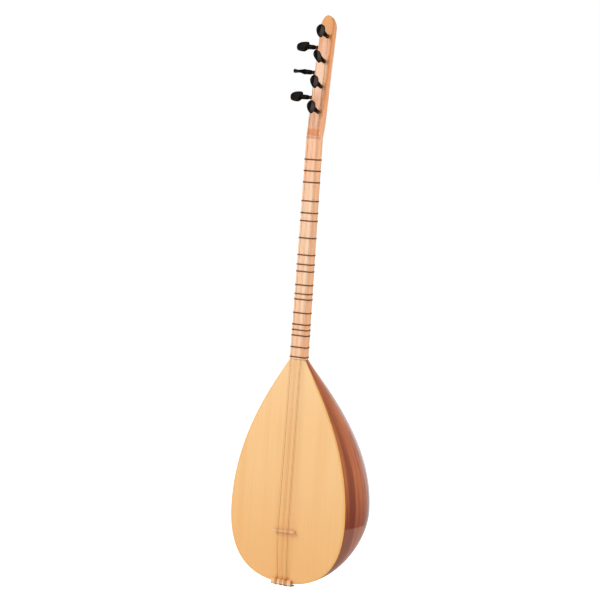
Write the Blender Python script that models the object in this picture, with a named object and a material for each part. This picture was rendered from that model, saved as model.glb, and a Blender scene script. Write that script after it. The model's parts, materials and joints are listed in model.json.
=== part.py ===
"""Short-neck baglama: a lute with a staved bowl, tied frets, a floating bridge and seven pegs.

Metres, +Z up along the neck, the soundboard faces -Y. The origin lies under the nut on the plane
of the soundboard, where a hanger's yoke holds the neck just below the pegs.
"""

import math
from functools import lru_cache

import bmesh
import bpy
import numpy as np
from mathutils import Vector

# Lengths along the strings
SCALE_LENGTH = 0.670
NECK_LENGTH = 0.3745
BOWL_LENGTH = 0.384
PEGHEAD_LENGTH = 0.208

# Soundboard outline, half of it, from the tail over the belly to the neck
BELLY_HALF_WIDTH = 0.1125
BELLY_HEIGHT = 0.119
TAIL_ROUND = 0.066
BELLY_ROUND = 0.088
SHOULDER_RISE = 0.127
SHOULDER_RUN = 0.052
SHOULDER_FLARE = math.radians(31)

# Back of the bowl seen from the side, from the tail to the heel of the neck
BOWL_DEPTH = 0.1977
DEPTH_HEIGHT = 0.120
TAIL_REACH = 0.038
TAIL_SAG = math.radians(20)
DEPTH_ROUND = 0.048
BACK_RISE = 0.1207
HEEL_RUN = 0.0315
HEEL_FLARE = math.radians(33.5)
BOWL_FULLNESS = 2.15

# Bowl and soundboard
RIB_COUNT = 13
RIB_THICKNESS = 0.003
TOP_THICKNESS = 0.003
CAP_REACH = 0.16
SOUND_HOLE_RADIUS = 0.008
SOUND_HOLE_SETBACK = 0.034
TAIL_BLOCK_HALF_WIDTH = 0.030
TAIL_BLOCK_DEPTH = 0.020
TAIL_BLOCK_HEIGHT = 0.018
NECK_BLOCK_LENGTH = 0.060
BRACE_HEIGHT = 0.010
BRACE_WIDTH = 0.007
BRACE_PLACES = (0.155, 0.270)

# Neck and nut
NECK_HALF_WIDTH = 0.0150
NUT_HALF_WIDTH = 0.0133
HEEL_DEPTH = 0.0254
NECK_TOP_DEPTH = 0.0215
NECK_SETBACK = 0.0035
EDGE_EASE = 0.0010
NUT_LENGTH = 0.0022
NUT_SEAT = 0.0020
NUT_STAND = 0.0016

# Peghead
PEGHEAD_TILT = math.radians(6.6)
PEGHEAD_HALF_WIDTH = 0.0131
PEGHEAD_TIP_HALF_WIDTH = 0.0124
PEGHEAD_DEPTH = 0.0218
PEGHEAD_TIP_DEPTH = 0.0200
PEGHEAD_SHOULDER = 0.026
PEGHEAD_ROUND = 0.022
PEGHEAD_TIP_SHARE = 0.10
PEGHEAD_FULLNESS = 3.0

# Pegs: four in the face of the peghead, three in its left side
PEG_PITCH = 0.0426
FRONT_PEG_START = 0.0443
SIDE_PEG_START = 0.0687
FRONT_PEG_OFFSET = 0.0029
FRONT_PEG_RISE = math.radians(15.2)
FRONT_PEG_SWAY = math.radians(7.2)
SIDE_PEG_SETBACK = 0.0097
SIDE_PEG_RISE = math.radians(2)
FRONT_PEG_STAND = 0.0416
SIDE_PEG_STAND = 0.0455
FRONT_PEG_TURNS = (-5, -1, 14, -8)
SIDE_PEG_TURNS = (38, 92, 40)
SHAFT_DEPTH = 0.0145
SHAFT_TIP_RADIUS = 0.0024
SHANK_RADIUS = 0.0030
SHANK_TOP_RADIUS = 0.0037
COLLAR_RADIUS = 0.0047
HEAD_LENGTH = 0.0200
HEAD_HALF_BREADTH = 0.0106
HEAD_TIP_HALF_THICKNESS = 0.0038
HEAD_WAIST_HALF_THICKNESS = 0.0026
HEAD_DISH = 0.30

# Frets tied by hand round the neck, in semitones above the open string
FRET_STEPS = (
    0.96, 1.49, 2.04, 2.98, 3.61, 4.04, 5.01, 6.03, 6.63, 7.08,
    8.0, 8.63, 9.03, 10.06, 10.99, 11.45, 11.93, 12.98, 13.92,
)
FRET_RADIUS = 0.00042
FRET_PITCH = 0.00115
FRET_TURNS = 2

# Bridge and tailpiece
BRIDGE_HALF_WIDTH = 0.0208
BRIDGE_OFFSET = -0.0011
BRIDGE_LEAD = 0.0018
BRIDGE_TURN = math.radians(2.3)
BRIDGE_HEIGHT = 0.0085
BRIDGE_THICKNESS = 0.0038
BRIDGE_ARCH_HALF_WIDTH = 0.0060
BRIDGE_ARCH_HEIGHT = 0.0034
BRIDGE_ARCH_OFFSET = 0.0090
TAILPIECE_HALF_WIDTH = 0.0196
TAILPIECE_HEIGHT = 0.0066
TAILPIECE_STAND = 0.0056
TAILPIECE_FOOT = 0.0032
TAILPIECE_REACH = 0.0078

# Strings from bass to treble: place at the nut, place at the bridge, radius
STRINGS = (
    (-0.0104, -0.0124, 0.00020),
    (-0.0082, -0.0097, 0.00030),
    (-0.0011, -0.0014, 0.00020),
    (0.0013, 0.0014, 0.00020),
    (0.0074, 0.0072, 0.00020),
    (0.0092, 0.0097, 0.00030),
    (0.0110, 0.0121, 0.00020),
)
STRING_PEGS = (
    "side_peg_1", "side_peg_2", "side_peg_3",
    "front_peg_1", "front_peg_2", "front_peg_3", "front_peg_4",
)
LEFT_OF_ITS_PEG = "front_peg_1"
SIDE_STRING_LEADS = {"side_peg_1": 0.036, "side_peg_2": 0.030, "side_peg_3": 0.028}
WINDING_TURNS = 3
WINDING_PITCH = 0.0011
WINDING_POINTS = 8
FRONT_WINDING_START = 0.0032
SIDE_WINDING_START = 0.0042
KNOT_RADIUS = 0.0008

# Clearances
GAP = 0.0003
GLUE_ROOM = 0.0007
PEG_FIT = 0.00025
STRING_FIT = 0.0003

# Places worked out from the lengths
JOINT_Z = -NECK_LENGTH
TAIL_Z = JOINT_Z - BOWL_LENGTH
BRIDGE_Z = BRIDGE_LEAD - SCALE_LENGTH
RIM_Y = TOP_THICKNESS + GAP
NECK_TOP_Z = NUT_LENGTH + GAP
STRING_HEIGHT_AT_NUT = NUT_STAND + GAP
STRING_HEIGHT_AT_BRIDGE = BRIDGE_HEIGHT + GAP

SPRUCE = ("spruce", (0.86, 0.53, 0.23), 0.42)
MAHOGANY = ("mahogany", (0.30, 0.09, 0.04), 0.25)
BEECH = ("beech", (0.80, 0.44, 0.24), 0.40)
MAPLE = ("maple", (0.85, 0.54, 0.35), 0.45)
EBONY = ("black_stain", (0.012, 0.011, 0.012), 0.38)
GUT = ("fret_line", (0.10, 0.045, 0.02), 0.45)
STEEL = ("plain_steel", (0.62, 0.55, 0.45), 0.30)
COPPER = ("wound_string", (0.33, 0.19, 0.10), 0.40)
HORN = ("bone", (0.80, 0.60, 0.36), 0.40)


def clear_scene():
    for item in list(bpy.data.objects):
        bpy.data.objects.remove(item, do_unlink=True)


def new_collection(name):
    collection = bpy.data.collections.new(name)
    bpy.context.scene.collection.children.link(collection)
    return collection


def material(finish):
    name, colour, roughness = finish
    made = bpy.data.materials.get(name)
    if made is None:
        made = bpy.data.materials.new(name)
        made.use_nodes = True
        shader = made.node_tree.nodes["Principled BSDF"]
        shader.inputs["Base Color"].default_value = (*colour, 1)
        shader.inputs["Roughness"].default_value = roughness
        shader.inputs["Metallic"].default_value = 0.7 if "string" in name or "steel" in name else 0
        made.diffuse_color = (*colour, 1)
    return made


def place(obj, finish, collection=None):
    obj.data.materials.append(material(finish))
    (collection or PARTS).objects.link(obj)
    return obj


def mesh_object(name, points, faces, finish, sharp=math.radians(35)):
    mesh = bpy.data.meshes.new(name)
    mesh.from_pydata([tuple(p) for p in points], [], faces)
    mesh.validate()
    shape = bmesh.new()
    shape.from_mesh(mesh)
    bmesh.ops.remove_doubles(shape, verts=shape.verts, dist=1e-6)
    bmesh.ops.recalc_face_normals(shape, faces=shape.faces)
    shape.to_mesh(mesh)
    shape.free()
    mesh.shade_smooth()
    mesh.set_sharp_from_angle(angle=sharp)
    return place(bpy.data.objects.new(name, mesh), finish)


def ring_loft(name, rings, finish):
    """A solid through closed rings of the same number of points, with flat ends."""
    count = len(rings[0])
    points = [p for ring in rings for p in ring]
    faces = [tuple(range(count)), tuple(range(len(points) - count, len(points)))]
    for row in range(len(rings) - 1):
        for i in range(count):
            j = (i + 1) % count
            low, high = row * count, (row + 1) * count
            faces.append((low + i, low + j, high + j, high + i))
    return mesh_object(name, points, faces, finish)


def shell_loft(name, outer, inner, finish):
    """A curved plate between two grids of points of the same size."""
    rows, columns = len(outer), len(outer[0])
    points = [p for row in outer for p in row] + [p for row in inner for p in row]
    under = rows * columns
    faces = []
    for r in range(rows - 1):
        for c in range(columns - 1):
            a, b = r * columns + c, r * columns + c + 1
            quad = (a, b, b + columns, a + columns)
            faces += [quad, tuple(i + under for i in quad)]
        for c in (0, columns - 1):
            a = r * columns + c
            faces.append((a, a + columns, a + columns + under, a + under))
    for r in (0, rows - 1):
        for c in range(columns - 1):
            a = r * columns + c
            faces.append((a, a + 1, a + 1 + under, a + under))
    return mesh_object(name, points, faces, finish)


def box(name, low, high, finish=None):
    """A box between two corners: a part if it has a finish, else a cutter."""
    bpy.ops.mesh.primitive_cube_add(size=1)
    obj = bpy.context.object
    low, high = Vector(low), Vector(high)
    obj.name = name
    for vertex in obj.data.vertices:
        vertex.co = Vector(low + (high - low) * (c + 0.5) for low, high, c in zip(low, high, vertex.co))
    return file_primitive(obj, finish)


def cone(name, start, end, radius, end_radius, sides, finish=None):
    """A round bar or taper from start to end."""
    start, end = Vector(start), Vector(end)
    bpy.ops.mesh.primitive_cone_add(
        vertices=sides, radius1=radius, radius2=end_radius, depth=(end - start).length
    )
    obj = bpy.context.object
    obj.name = name
    obj.location = (start + end) / 2
    obj.rotation_euler = (end - start).to_track_quat("Z", "Y").to_euler()
    return file_primitive(obj, finish)


def file_primitive(obj, finish):
    for collection in list(obj.users_collection):
        collection.objects.unlink(obj)
    if finish:
        return place(obj, finish)
    obj.hide_render = True
    obj.display_type = "WIRE"
    CUTTERS.objects.link(obj)
    return obj


def cut(obj, cutter, operation="DIFFERENCE"):
    modifier = obj.modifiers.new(cutter.name, "BOOLEAN")
    modifier.operation = operation
    modifier.object = cutter
    modifier.solver = "EXACT"
    return obj


def tube(name, points, radius, finish, sizes=None, resolution=1):
    """A line of round section through points, with a closed end at both ends."""
    curve = bpy.data.curves.new(name, "CURVE")
    curve.dimensions = "3D"
    curve.bevel_depth = radius
    curve.bevel_resolution = resolution
    curve.use_fill_caps = True
    spline = curve.splines.new("POLY")
    spline.points.add(len(points) - 1)
    for i, point in enumerate(points):
        spline.points[i].co = (*point, 1)
        spline.points[i].radius = sizes[i] if sizes else 1
    spline.use_smooth = True
    return place(bpy.data.objects.new(name, curve), finish)


def bezier(a, b, c, d, t):
    a, b, c, d = (np.array(p, float) for p in (a, b, c, d))
    return (1 - t) ** 3 * a + 3 * (1 - t) ** 2 * t * b + 3 * (1 - t) * t**2 * c + t**3 * d


def rim(t):
    """Half outline of the bowl's rim, (x, z), for t from 0 at the tail to 1 at the neck."""
    belly_z = TAIL_Z + BELLY_HEIGHT
    if t <= 0.5:
        return bezier(
            (0, TAIL_Z),
            (TAIL_ROUND, TAIL_Z),
            (BELLY_HALF_WIDTH, belly_z - BELLY_ROUND),
            (BELLY_HALF_WIDTH, belly_z),
            2 * t,
        )
    return bezier(
        (BELLY_HALF_WIDTH, belly_z),
        (BELLY_HALF_WIDTH, belly_z + SHOULDER_RISE),
        (
            NECK_HALF_WIDTH + SHOULDER_RUN * math.sin(SHOULDER_FLARE),
            JOINT_Z - SHOULDER_RUN * math.cos(SHOULDER_FLARE),
        ),
        (NECK_HALF_WIDTH, JOINT_Z),
        2 * t - 1,
    )


def back(t):
    """Line of the bowl's back, (y, z), for t from 0 at the tail to 1 at the heel."""
    deep_z = TAIL_Z + DEPTH_HEIGHT
    if t <= 0.5:
        return bezier(
            (RIM_Y, TAIL_Z),
            (TAIL_REACH * math.cos(TAIL_SAG), TAIL_Z - TAIL_REACH * math.sin(TAIL_SAG)),
            (BOWL_DEPTH, deep_z - DEPTH_ROUND),
            (BOWL_DEPTH, deep_z),
            2 * t,
        )
    return bezier(
        (BOWL_DEPTH, deep_z),
        (BOWL_DEPTH, deep_z + BACK_RISE),
        (HEEL_DEPTH + HEEL_RUN * math.sin(HEEL_FLARE), JOINT_Z - HEEL_RUN * math.cos(HEEL_FLARE)),
        (HEEL_DEPTH, JOINT_Z),
        2 * t - 1,
    )


@lru_cache(maxsize=None)
def bowl_section(t):
    """Points across the bowl at t from the right rim to the left, with their share of its girth."""
    angle = np.linspace(0, math.pi, 241)
    (x, rim_z), (y, back_z) = rim(t), back(t)
    side = np.sign(np.cos(angle)) * np.abs(np.cos(angle)) ** (2 / BOWL_FULLNESS)
    deep = np.abs(np.sin(angle)) ** (2 / BOWL_FULLNESS)
    points = np.stack(
        [
            x * side,
            RIM_Y + (y - RIM_Y) * deep,
            rim_z + (back_z - rim_z) * np.sin(angle) ** 2,
        ],
        axis=1,
    )
    steps = np.linalg.norm(np.diff(points, axis=0), axis=1)
    girth = np.concatenate([[0], np.cumsum(steps)])
    return points, girth


def bowl_skin(t, share):
    points, girth = bowl_section(round(t, 6))
    at = share * girth[-1]
    return np.array([np.interp(at, girth, points[:, k]) for k in range(3)])


def bowl_point(t, share, depth=0.0):
    """A point of the bowl, depth under its outer face, at a share of the girth from the right."""
    reach = 0.004
    along = bowl_skin(min(t + reach, 1), share) - bowl_skin(max(t - reach, 0.0005), share)
    across = bowl_skin(t, min(share + reach, 1)) - bowl_skin(t, max(share - reach, 0))
    outward = np.cross(across, along)
    outward /= np.linalg.norm(outward)
    if share in (0, 1):
        outward[1] = 0
    return bowl_skin(t, share) - depth * outward


def bowl_girth(t):
    return bowl_section(round(t, 6))[1][-1]


def make_ribs():
    """Staves that run from the end cap to the neck, each the same share of the girth."""
    stations = np.linspace(CAP_REACH, 1, 23)
    strips = 2
    for rib in range(RIB_COUNT):
        grids = ([], [])
        for t in stations:
            seam = GAP / 2 / bowl_girth(t)
            first = rib / RIB_COUNT + (seam if rib else 0)
            last = (rib + 1) / RIB_COUNT - (seam if rib < RIB_COUNT - 1 else 0)
            for grid, depth in zip(grids, (0, RIB_THICKNESS)):
                grid.append([bowl_point(t, s, depth) for s in np.linspace(first, last, strips + 1)])
        shell_loft(f"rib_{rib + 1}", *grids, MAHOGANY)


def make_end_cap():
    """The curved plate over the tail where the ribs meet, with the sound hole in it."""
    tail_start = 0.008
    edge = CAP_REACH - GAP / np.linalg.norm(bowl_skin(0.5, 0.5) - bowl_skin(0, 0.5))
    rows = np.linspace(tail_start, edge, 6)
    shares = np.linspace(0, 1, 17)
    grids = [
        [[bowl_point(t, s, depth) for s in shares] for t in rows] for depth in (0, RIB_THICKNESS)
    ]
    cap = shell_loft("bowl_end_cap", *grids, MAHOGANY)
    drill = cone(
        "sound_hole_drill",
        (0, SOUND_HOLE_SETBACK, TAIL_Z - 0.03),
        (0, SOUND_HOLE_SETBACK, TAIL_Z + 0.03),
        SOUND_HOLE_RADIUS,
        SOUND_HOLE_RADIUS,
        20,
    )
    cut(cap, drill)


def bowl_core():
    """The space inside the bowl, a gap clear of the ribs, used to shape what is glued in it."""
    rows = np.concatenate([np.linspace(0.02, 0.2, 14), np.linspace(0.25, 1, 16)])
    shares = np.linspace(0, 1, 27)
    depth = RIB_THICKNESS + GLUE_ROOM
    rings = [[bowl_point(t, s, depth) for s in shares] for t in rows]
    core = ring_loft("inside_of_bowl", rings, MAHOGANY)
    PARTS.objects.unlink(core)
    core.hide_render = True
    core.display_type = "WIRE"
    CUTTERS.objects.link(core)
    return core


def make_blocks_and_braces():
    core = bowl_core()
    tail = box(
        "tail_block",
        (-TAIL_BLOCK_HALF_WIDTH, 0, TAIL_Z - 0.03),
        (TAIL_BLOCK_HALF_WIDTH, RIM_Y + TAIL_BLOCK_DEPTH, TAIL_Z + TAIL_BLOCK_HEIGHT),
        BEECH,
    )
    neck_end = box(
        "neck_block",
        (-0.2, 0, JOINT_Z - NECK_BLOCK_LENGTH),
        (0.2, 0.3, JOINT_Z - GAP),
        BEECH,
    )
    braces = [
        box(
            f"soundboard_brace_{n + 1}",
            (-0.2, 0, TAIL_Z + z - BRACE_WIDTH / 2),
            (0.2, RIM_Y + BRACE_HEIGHT, TAIL_Z + z + BRACE_WIDTH / 2),
            SPRUCE,
        )
        for n, z in enumerate(BRACE_PLACES)
    ]
    for piece in (tail, neck_end, *braces):
        cut(piece, core, "INTERSECT")


def make_soundboard():
    """A flat plate in the outline of the rim, drawn with the same handles."""
    curve = bpy.data.curves.new("soundboard", "CURVE")
    curve.dimensions = "2D"
    curve.fill_mode = "BOTH"
    curve.extrude = TOP_THICKNESS / 2
    curve.resolution_u = 14
    spline = curve.splines.new("BEZIER")
    spline.use_cyclic_u = True
    spline.bezier_points.add(4)
    belly_z = TAIL_Z + BELLY_HEIGHT
    end_z = JOINT_Z - GAP
    flare_x = NECK_HALF_WIDTH + SHOULDER_RUN * math.sin(SHOULDER_FLARE)
    flare_z = JOINT_Z - SHOULDER_RUN * math.cos(SHOULDER_FLARE)
    knots = [
        ((0, TAIL_Z), (-TAIL_ROUND, TAIL_Z), (TAIL_ROUND, TAIL_Z)),
        (
            (BELLY_HALF_WIDTH, belly_z),
            (BELLY_HALF_WIDTH, belly_z - BELLY_ROUND),
            (BELLY_HALF_WIDTH, belly_z + SHOULDER_RISE),
        ),
        ((NECK_HALF_WIDTH, end_z), (flare_x, flare_z), (NECK_HALF_WIDTH / 3, end_z)),
        ((-NECK_HALF_WIDTH, end_z), (-NECK_HALF_WIDTH / 3, end_z), (-flare_x, flare_z)),
        (
            (-BELLY_HALF_WIDTH, belly_z),
            (-BELLY_HALF_WIDTH, belly_z + SHOULDER_RISE),
            (-BELLY_HALF_WIDTH, belly_z - BELLY_ROUND),
        ),
    ]
    for point, (at, left, right) in zip(spline.bezier_points, knots):
        point.handle_left_type = point.handle_right_type = "FREE"
        point.co = (*at, 0)
        point.handle_left = (*left, 0)
        point.handle_right = (*right, 0)
    board = place(bpy.data.objects.new("soundboard", curve), SPRUCE)
    board.location = (0, TOP_THICKNESS / 2, 0)
    board.rotation_euler = (math.pi / 2, 0, 0)


def half_round(half_width, depth, fullness, side, grow=0.0, arc=9):
    """A section flat in front and round behind, as (x, depth) from the right front corner."""
    ease = EDGE_EASE + grow * 0.4
    half_width, back_depth = half_width + grow, depth + grow
    ring = [(half_width - ease, -grow), (half_width, ease - grow)]
    for i in range(arc + 1):
        angle = math.pi * i / arc
        x = math.copysign(abs(math.cos(angle)) ** (2 / fullness), math.cos(angle))
        y = math.sin(angle) ** (2 / fullness) if 0 < i < arc else 0
        ring.append((half_width * x, side + (back_depth - side) * y))
    return ring + [(-half_width, ease - grow), (-half_width + ease, -grow)]


def neck_size(z):
    """Half width, depth and set-back of the face of the neck at height z."""
    rise = (z - JOINT_Z) / NECK_LENGTH
    half_width = NECK_HALF_WIDTH + (NUT_HALF_WIDTH - NECK_HALF_WIDTH) * rise
    depth = HEEL_DEPTH + (NECK_TOP_DEPTH - HEEL_DEPTH) * rise
    return half_width, depth, NECK_SETBACK * rise


def neck_ring(z, grow=0.0):
    half_width, depth, face = neck_size(z)
    ring = half_round(half_width, depth, BOWL_FULLNESS, RIM_Y, grow)
    return [Vector((x, face + y, z)) for x, y in ring]


def make_neck():
    rings = [neck_ring(JOINT_Z + GAP), neck_ring(NUT_LENGTH)]
    neck = ring_loft("neck", rings, BEECH)
    face = neck_size(0)[2]
    seat = box(
        "nut_seat_cutter",
        (-0.03, -0.01, -GAP),
        (0.03, face + NUT_SEAT, NUT_LENGTH + 0.002),
    )
    cut(neck, seat)


def string_at_nut(index):
    return Vector((STRINGS[index][0], neck_size(0)[2] - STRING_HEIGHT_AT_NUT, 0))


def string_at_bridge(index):
    x = STRINGS[index][1]
    z = BRIDGE_Z + (x - BRIDGE_OFFSET) * math.tan(BRIDGE_TURN)
    return Vector((x, -STRING_HEIGHT_AT_BRIDGE, z))


def grooves(name, ends, radius_of):
    """One cutter made of a round bar along each string."""
    mesh = bpy.data.meshes.new(name)
    shape = bmesh.new()
    for index, (start, end) in enumerate(ends):
        run = end - start
        turn = run.to_track_quat("Z", "Y").to_matrix().to_4x4()
        turn.translation = (start + end) / 2
        bmesh.ops.create_cone(
            shape,
            cap_ends=True,
            segments=8,
            radius1=radius_of(index),
            radius2=radius_of(index),
            depth=run.length,
            matrix=turn,
        )
    shape.to_mesh(mesh)
    shape.free()
    cutter = bpy.data.objects.new(name, mesh)
    cutter.hide_render = True
    cutter.display_type = "WIRE"
    CUTTERS.objects.link(cutter)
    return cutter


def groove_radius(index):
    return STRINGS[index][2] + STRING_FIT


def make_nut():
    face = neck_size(0)[2]
    half_width = NUT_HALF_WIDTH - 0.0004
    low = (-half_width, face - NUT_STAND, 0)
    nut = box("nut", low, (half_width, face + NUT_SEAT - GAP, NUT_LENGTH - GAP), HORN)
    ends = []
    for index in range(len(STRINGS)):
        middle = string_at_nut(index)
        ends.append((middle + Vector((0, 0, -0.004)), middle + Vector((0, 0, 0.008))))
    cut(nut, grooves("nut_grooves", ends, groove_radius))


def make_bridge():
    """A thin board on three feet, with two arches below and a groove for each string."""
    curve = bpy.data.curves.new("bridge_outline", "CURVE")
    curve.dimensions = "2D"
    curve.fill_mode = "BOTH"
    curve.extrude = BRIDGE_THICKNESS / 2
    spline = curve.splines.new("POLY")
    outline = [(-BRIDGE_HALF_WIDTH, GAP), (-BRIDGE_HALF_WIDTH + 0.0008, BRIDGE_HEIGHT)]
    outline += [(BRIDGE_HALF_WIDTH - 0.0008, BRIDGE_HEIGHT), (BRIDGE_HALF_WIDTH, GAP)]
    for middle in (BRIDGE_ARCH_OFFSET, -BRIDGE_ARCH_OFFSET):
        for i in range(9):
            angle = math.pi * i / 8
            x = middle + BRIDGE_ARCH_HALF_WIDTH * math.cos(angle)
            outline.append((x, GAP + BRIDGE_ARCH_HEIGHT * math.sin(angle)))
    spline.points.add(len(outline) - 1)
    for point, (x, y) in zip(spline.points, outline):
        point.co = (x, y, 0, 1)
    spline.use_cyclic_u = True
    drawn = bpy.data.objects.new("bridge_outline", curve)
    PARTS.objects.link(drawn)
    bpy.context.view_layer.update()
    solid = drawn.evaluated_get(bpy.context.evaluated_depsgraph_get())
    mesh = bpy.data.meshes.new_from_object(solid)
    bpy.data.objects.remove(drawn)
    shape = bmesh.new()
    shape.from_mesh(mesh)
    bmesh.ops.remove_doubles(shape, verts=shape.verts, dist=1e-6)
    bmesh.ops.recalc_face_normals(shape, faces=shape.faces)
    shape.to_mesh(mesh)
    shape.free()
    bridge = place(bpy.data.objects.new("bridge", mesh), MAPLE)
    bridge.location = (BRIDGE_OFFSET, 0, BRIDGE_Z)
    bridge.rotation_euler = (0, BRIDGE_TURN, math.pi)
    ends = []
    for index in range(len(STRINGS)):
        middle = string_at_bridge(index)
        ends.append((middle + Vector((0, 0, -0.006)), middle + Vector((0, 0, 0.006))))
    cut(bridge, grooves("bridge_grooves", ends, lambda i: groove_radius(i) + 0.0002))


def tailpiece_corners():
    """The section of the tailpiece, (y, z): a bar on the board with a foot hooked under the tail."""
    slope = TAIL_REACH * math.sin(TAIL_SAG) / (TAIL_REACH * math.cos(TAIL_SAG) - RIM_Y)
    low = TAIL_Z - TAILPIECE_FOOT
    inner = TAIL_Z - GAP
    return [
        (-TAILPIECE_STAND, low + 0.0015),
        (-TAILPIECE_STAND, TAIL_Z + TAILPIECE_HEIGHT - 0.0012),
        (-TAILPIECE_STAND + 0.0012, TAIL_Z + TAILPIECE_HEIGHT),
        (-GAP, TAIL_Z + TAILPIECE_HEIGHT),
        (-GAP, inner),
        (RIM_Y, inner),
        (TAILPIECE_REACH, inner - slope * (TAILPIECE_REACH - RIM_Y)),
        (TAILPIECE_REACH, low - slope * (TAILPIECE_REACH - RIM_Y) * 0.5),
        (-TAILPIECE_STAND + 0.0015, low),
    ]


def string_tail(index):
    """Top and bottom of the slot in the tailpiece where a string is held."""
    x = STRINGS[index][1] * 0.92
    y = -TAILPIECE_STAND * 0.45
    return Vector((x, y, TAIL_Z + TAILPIECE_HEIGHT)), Vector((x, y, TAIL_Z - TAILPIECE_FOOT))


def make_tailpiece():
    ring = tailpiece_corners()
    rings = [
        [Vector((x, y, z)) for y, z in ring] for x in (-TAILPIECE_HALF_WIDTH, TAILPIECE_HALF_WIDTH)
    ]
    tailpiece = ring_loft("tailpiece", rings, HORN)
    ends = []
    for index in range(len(STRINGS)):
        top, bottom = string_tail(index)
        ends.append((bottom - Vector((0, 0, 0.003)), top + Vector((0, 0, 0.003))))
    cut(tailpiece, grooves("tailpiece_holes", ends, groove_radius))


def head_point(x, along, behind):
    """A point of the peghead: x across, along its face from the nut, behind its face."""
    face = neck_size(0)[2]
    sine, cosine = math.sin(PEGHEAD_TILT), math.cos(PEGHEAD_TILT)
    return Vector((x, face + along * sine + behind * cosine, along * cosine - behind * sine))


def peghead_size(along):
    """Half width, depth and fullness of the peghead at a distance from the nut."""
    straight = (along - PEGHEAD_SHOULDER) / (PEGHEAD_LENGTH - PEGHEAD_SHOULDER)
    half_width = PEGHEAD_HALF_WIDTH + (PEGHEAD_TIP_HALF_WIDTH - PEGHEAD_HALF_WIDTH) * straight
    depth = PEGHEAD_DEPTH + (PEGHEAD_TIP_DEPTH - PEGHEAD_DEPTH) * straight
    if along >= PEGHEAD_SHOULDER:
        return half_width, depth, PEGHEAD_FULLNESS
    ease = 0.5 - 0.5 * math.cos(math.pi * along / PEGHEAD_SHOULDER)
    neck_half_width, neck_depth, _ = neck_size(0)
    return (
        neck_half_width + (half_width - neck_half_width) * ease,
        neck_depth + (depth - neck_depth) * ease,
        BOWL_FULLNESS + (PEGHEAD_FULLNESS - BOWL_FULLNESS) * ease,
    )


def make_peghead():
    """A tapered block that starts on the neck's section; its tip is rounded and thins to the face."""
    rings = []
    start = NECK_TOP_Z / math.cos(PEGHEAD_TILT)
    body = [start, 0.010, 0.016, 0.021, PEGHEAD_SHOULDER, PEGHEAD_LENGTH - PEGHEAD_ROUND]
    for along in body:
        half_width, depth, fullness = peghead_size(along)
        ring = [head_point(x, along, y) for x, y in half_round(half_width, depth, fullness, RIM_Y)]
        if along == start:
            for point in ring:
                point.z = NECK_TOP_Z
        rings.append(ring)
    half_width, depth, fullness = peghead_size(PEGHEAD_LENGTH - PEGHEAD_ROUND)
    for angle in (15, 30, 45, 58, 70, 80, 86):
        sine, cosine = math.sin(math.radians(angle)), math.cos(math.radians(angle))
        along = PEGHEAD_LENGTH - PEGHEAD_ROUND * (1 - sine)
        thinner = PEGHEAD_TIP_SHARE + (1 - PEGHEAD_TIP_SHARE) * cosine
        ring = half_round(half_width, depth, fullness, RIM_Y)
        rings.append([head_point(x * cosine, along, y * thinner) for x, y in ring])
    head = ring_loft("peghead", rings, BEECH)
    for peg in pegs():
        inward = -peg["out"]
        cut(
            head,
            cone(
                "hole_" + peg["name"],
                peg["base"] + peg["out"] * 0.004,
                peg["base"] + inward * (SHAFT_DEPTH + 0.001),
                hole_radius(-0.004),
                hole_radius(SHAFT_DEPTH + 0.001),
                16,
            ),
        )


def hole_radius(depth):
    """Radius of a peg hole at a depth in the wood, a fit wider than the shaft's corners."""
    shaft = SHANK_RADIUS + (SHAFT_TIP_RADIUS - SHANK_RADIUS) * depth / SHAFT_DEPTH
    return (shaft + PEG_FIT) / math.cos(math.pi / 16)


def pegs():
    """Name, place on the wood, outward direction, stand and turn of each peg."""
    rise, sway = FRONT_PEG_RISE, FRONT_PEG_SWAY
    front_out = Vector((
        math.sin(sway) * math.cos(rise), -math.cos(sway) * math.cos(rise), math.sin(rise),
    ))
    side_out = Vector((-math.cos(SIDE_PEG_RISE), 0, math.sin(SIDE_PEG_RISE)))
    made = []
    for i, turn in enumerate(FRONT_PEG_TURNS):
        along = FRONT_PEG_START + i * PEG_PITCH
        base = head_point(FRONT_PEG_OFFSET, along, 0)
        made.append(dict(
            name=f"front_peg_{i + 1}", along=along, base=base, out=front_out, stand=FRONT_PEG_STAND, turn=turn,
            start=FRONT_WINDING_START,
        ))
    for i, turn in enumerate(SIDE_PEG_TURNS):
        along = SIDE_PEG_START + i * PEG_PITCH
        base = head_point(-peghead_size(along)[0], along, SIDE_PEG_SETBACK)
        made.append(dict(
            name=f"side_peg_{i + 1}", along=along, base=base, out=side_out, stand=SIDE_PEG_STAND, turn=turn,
            start=SIDE_WINDING_START,
        ))
    return made


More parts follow.
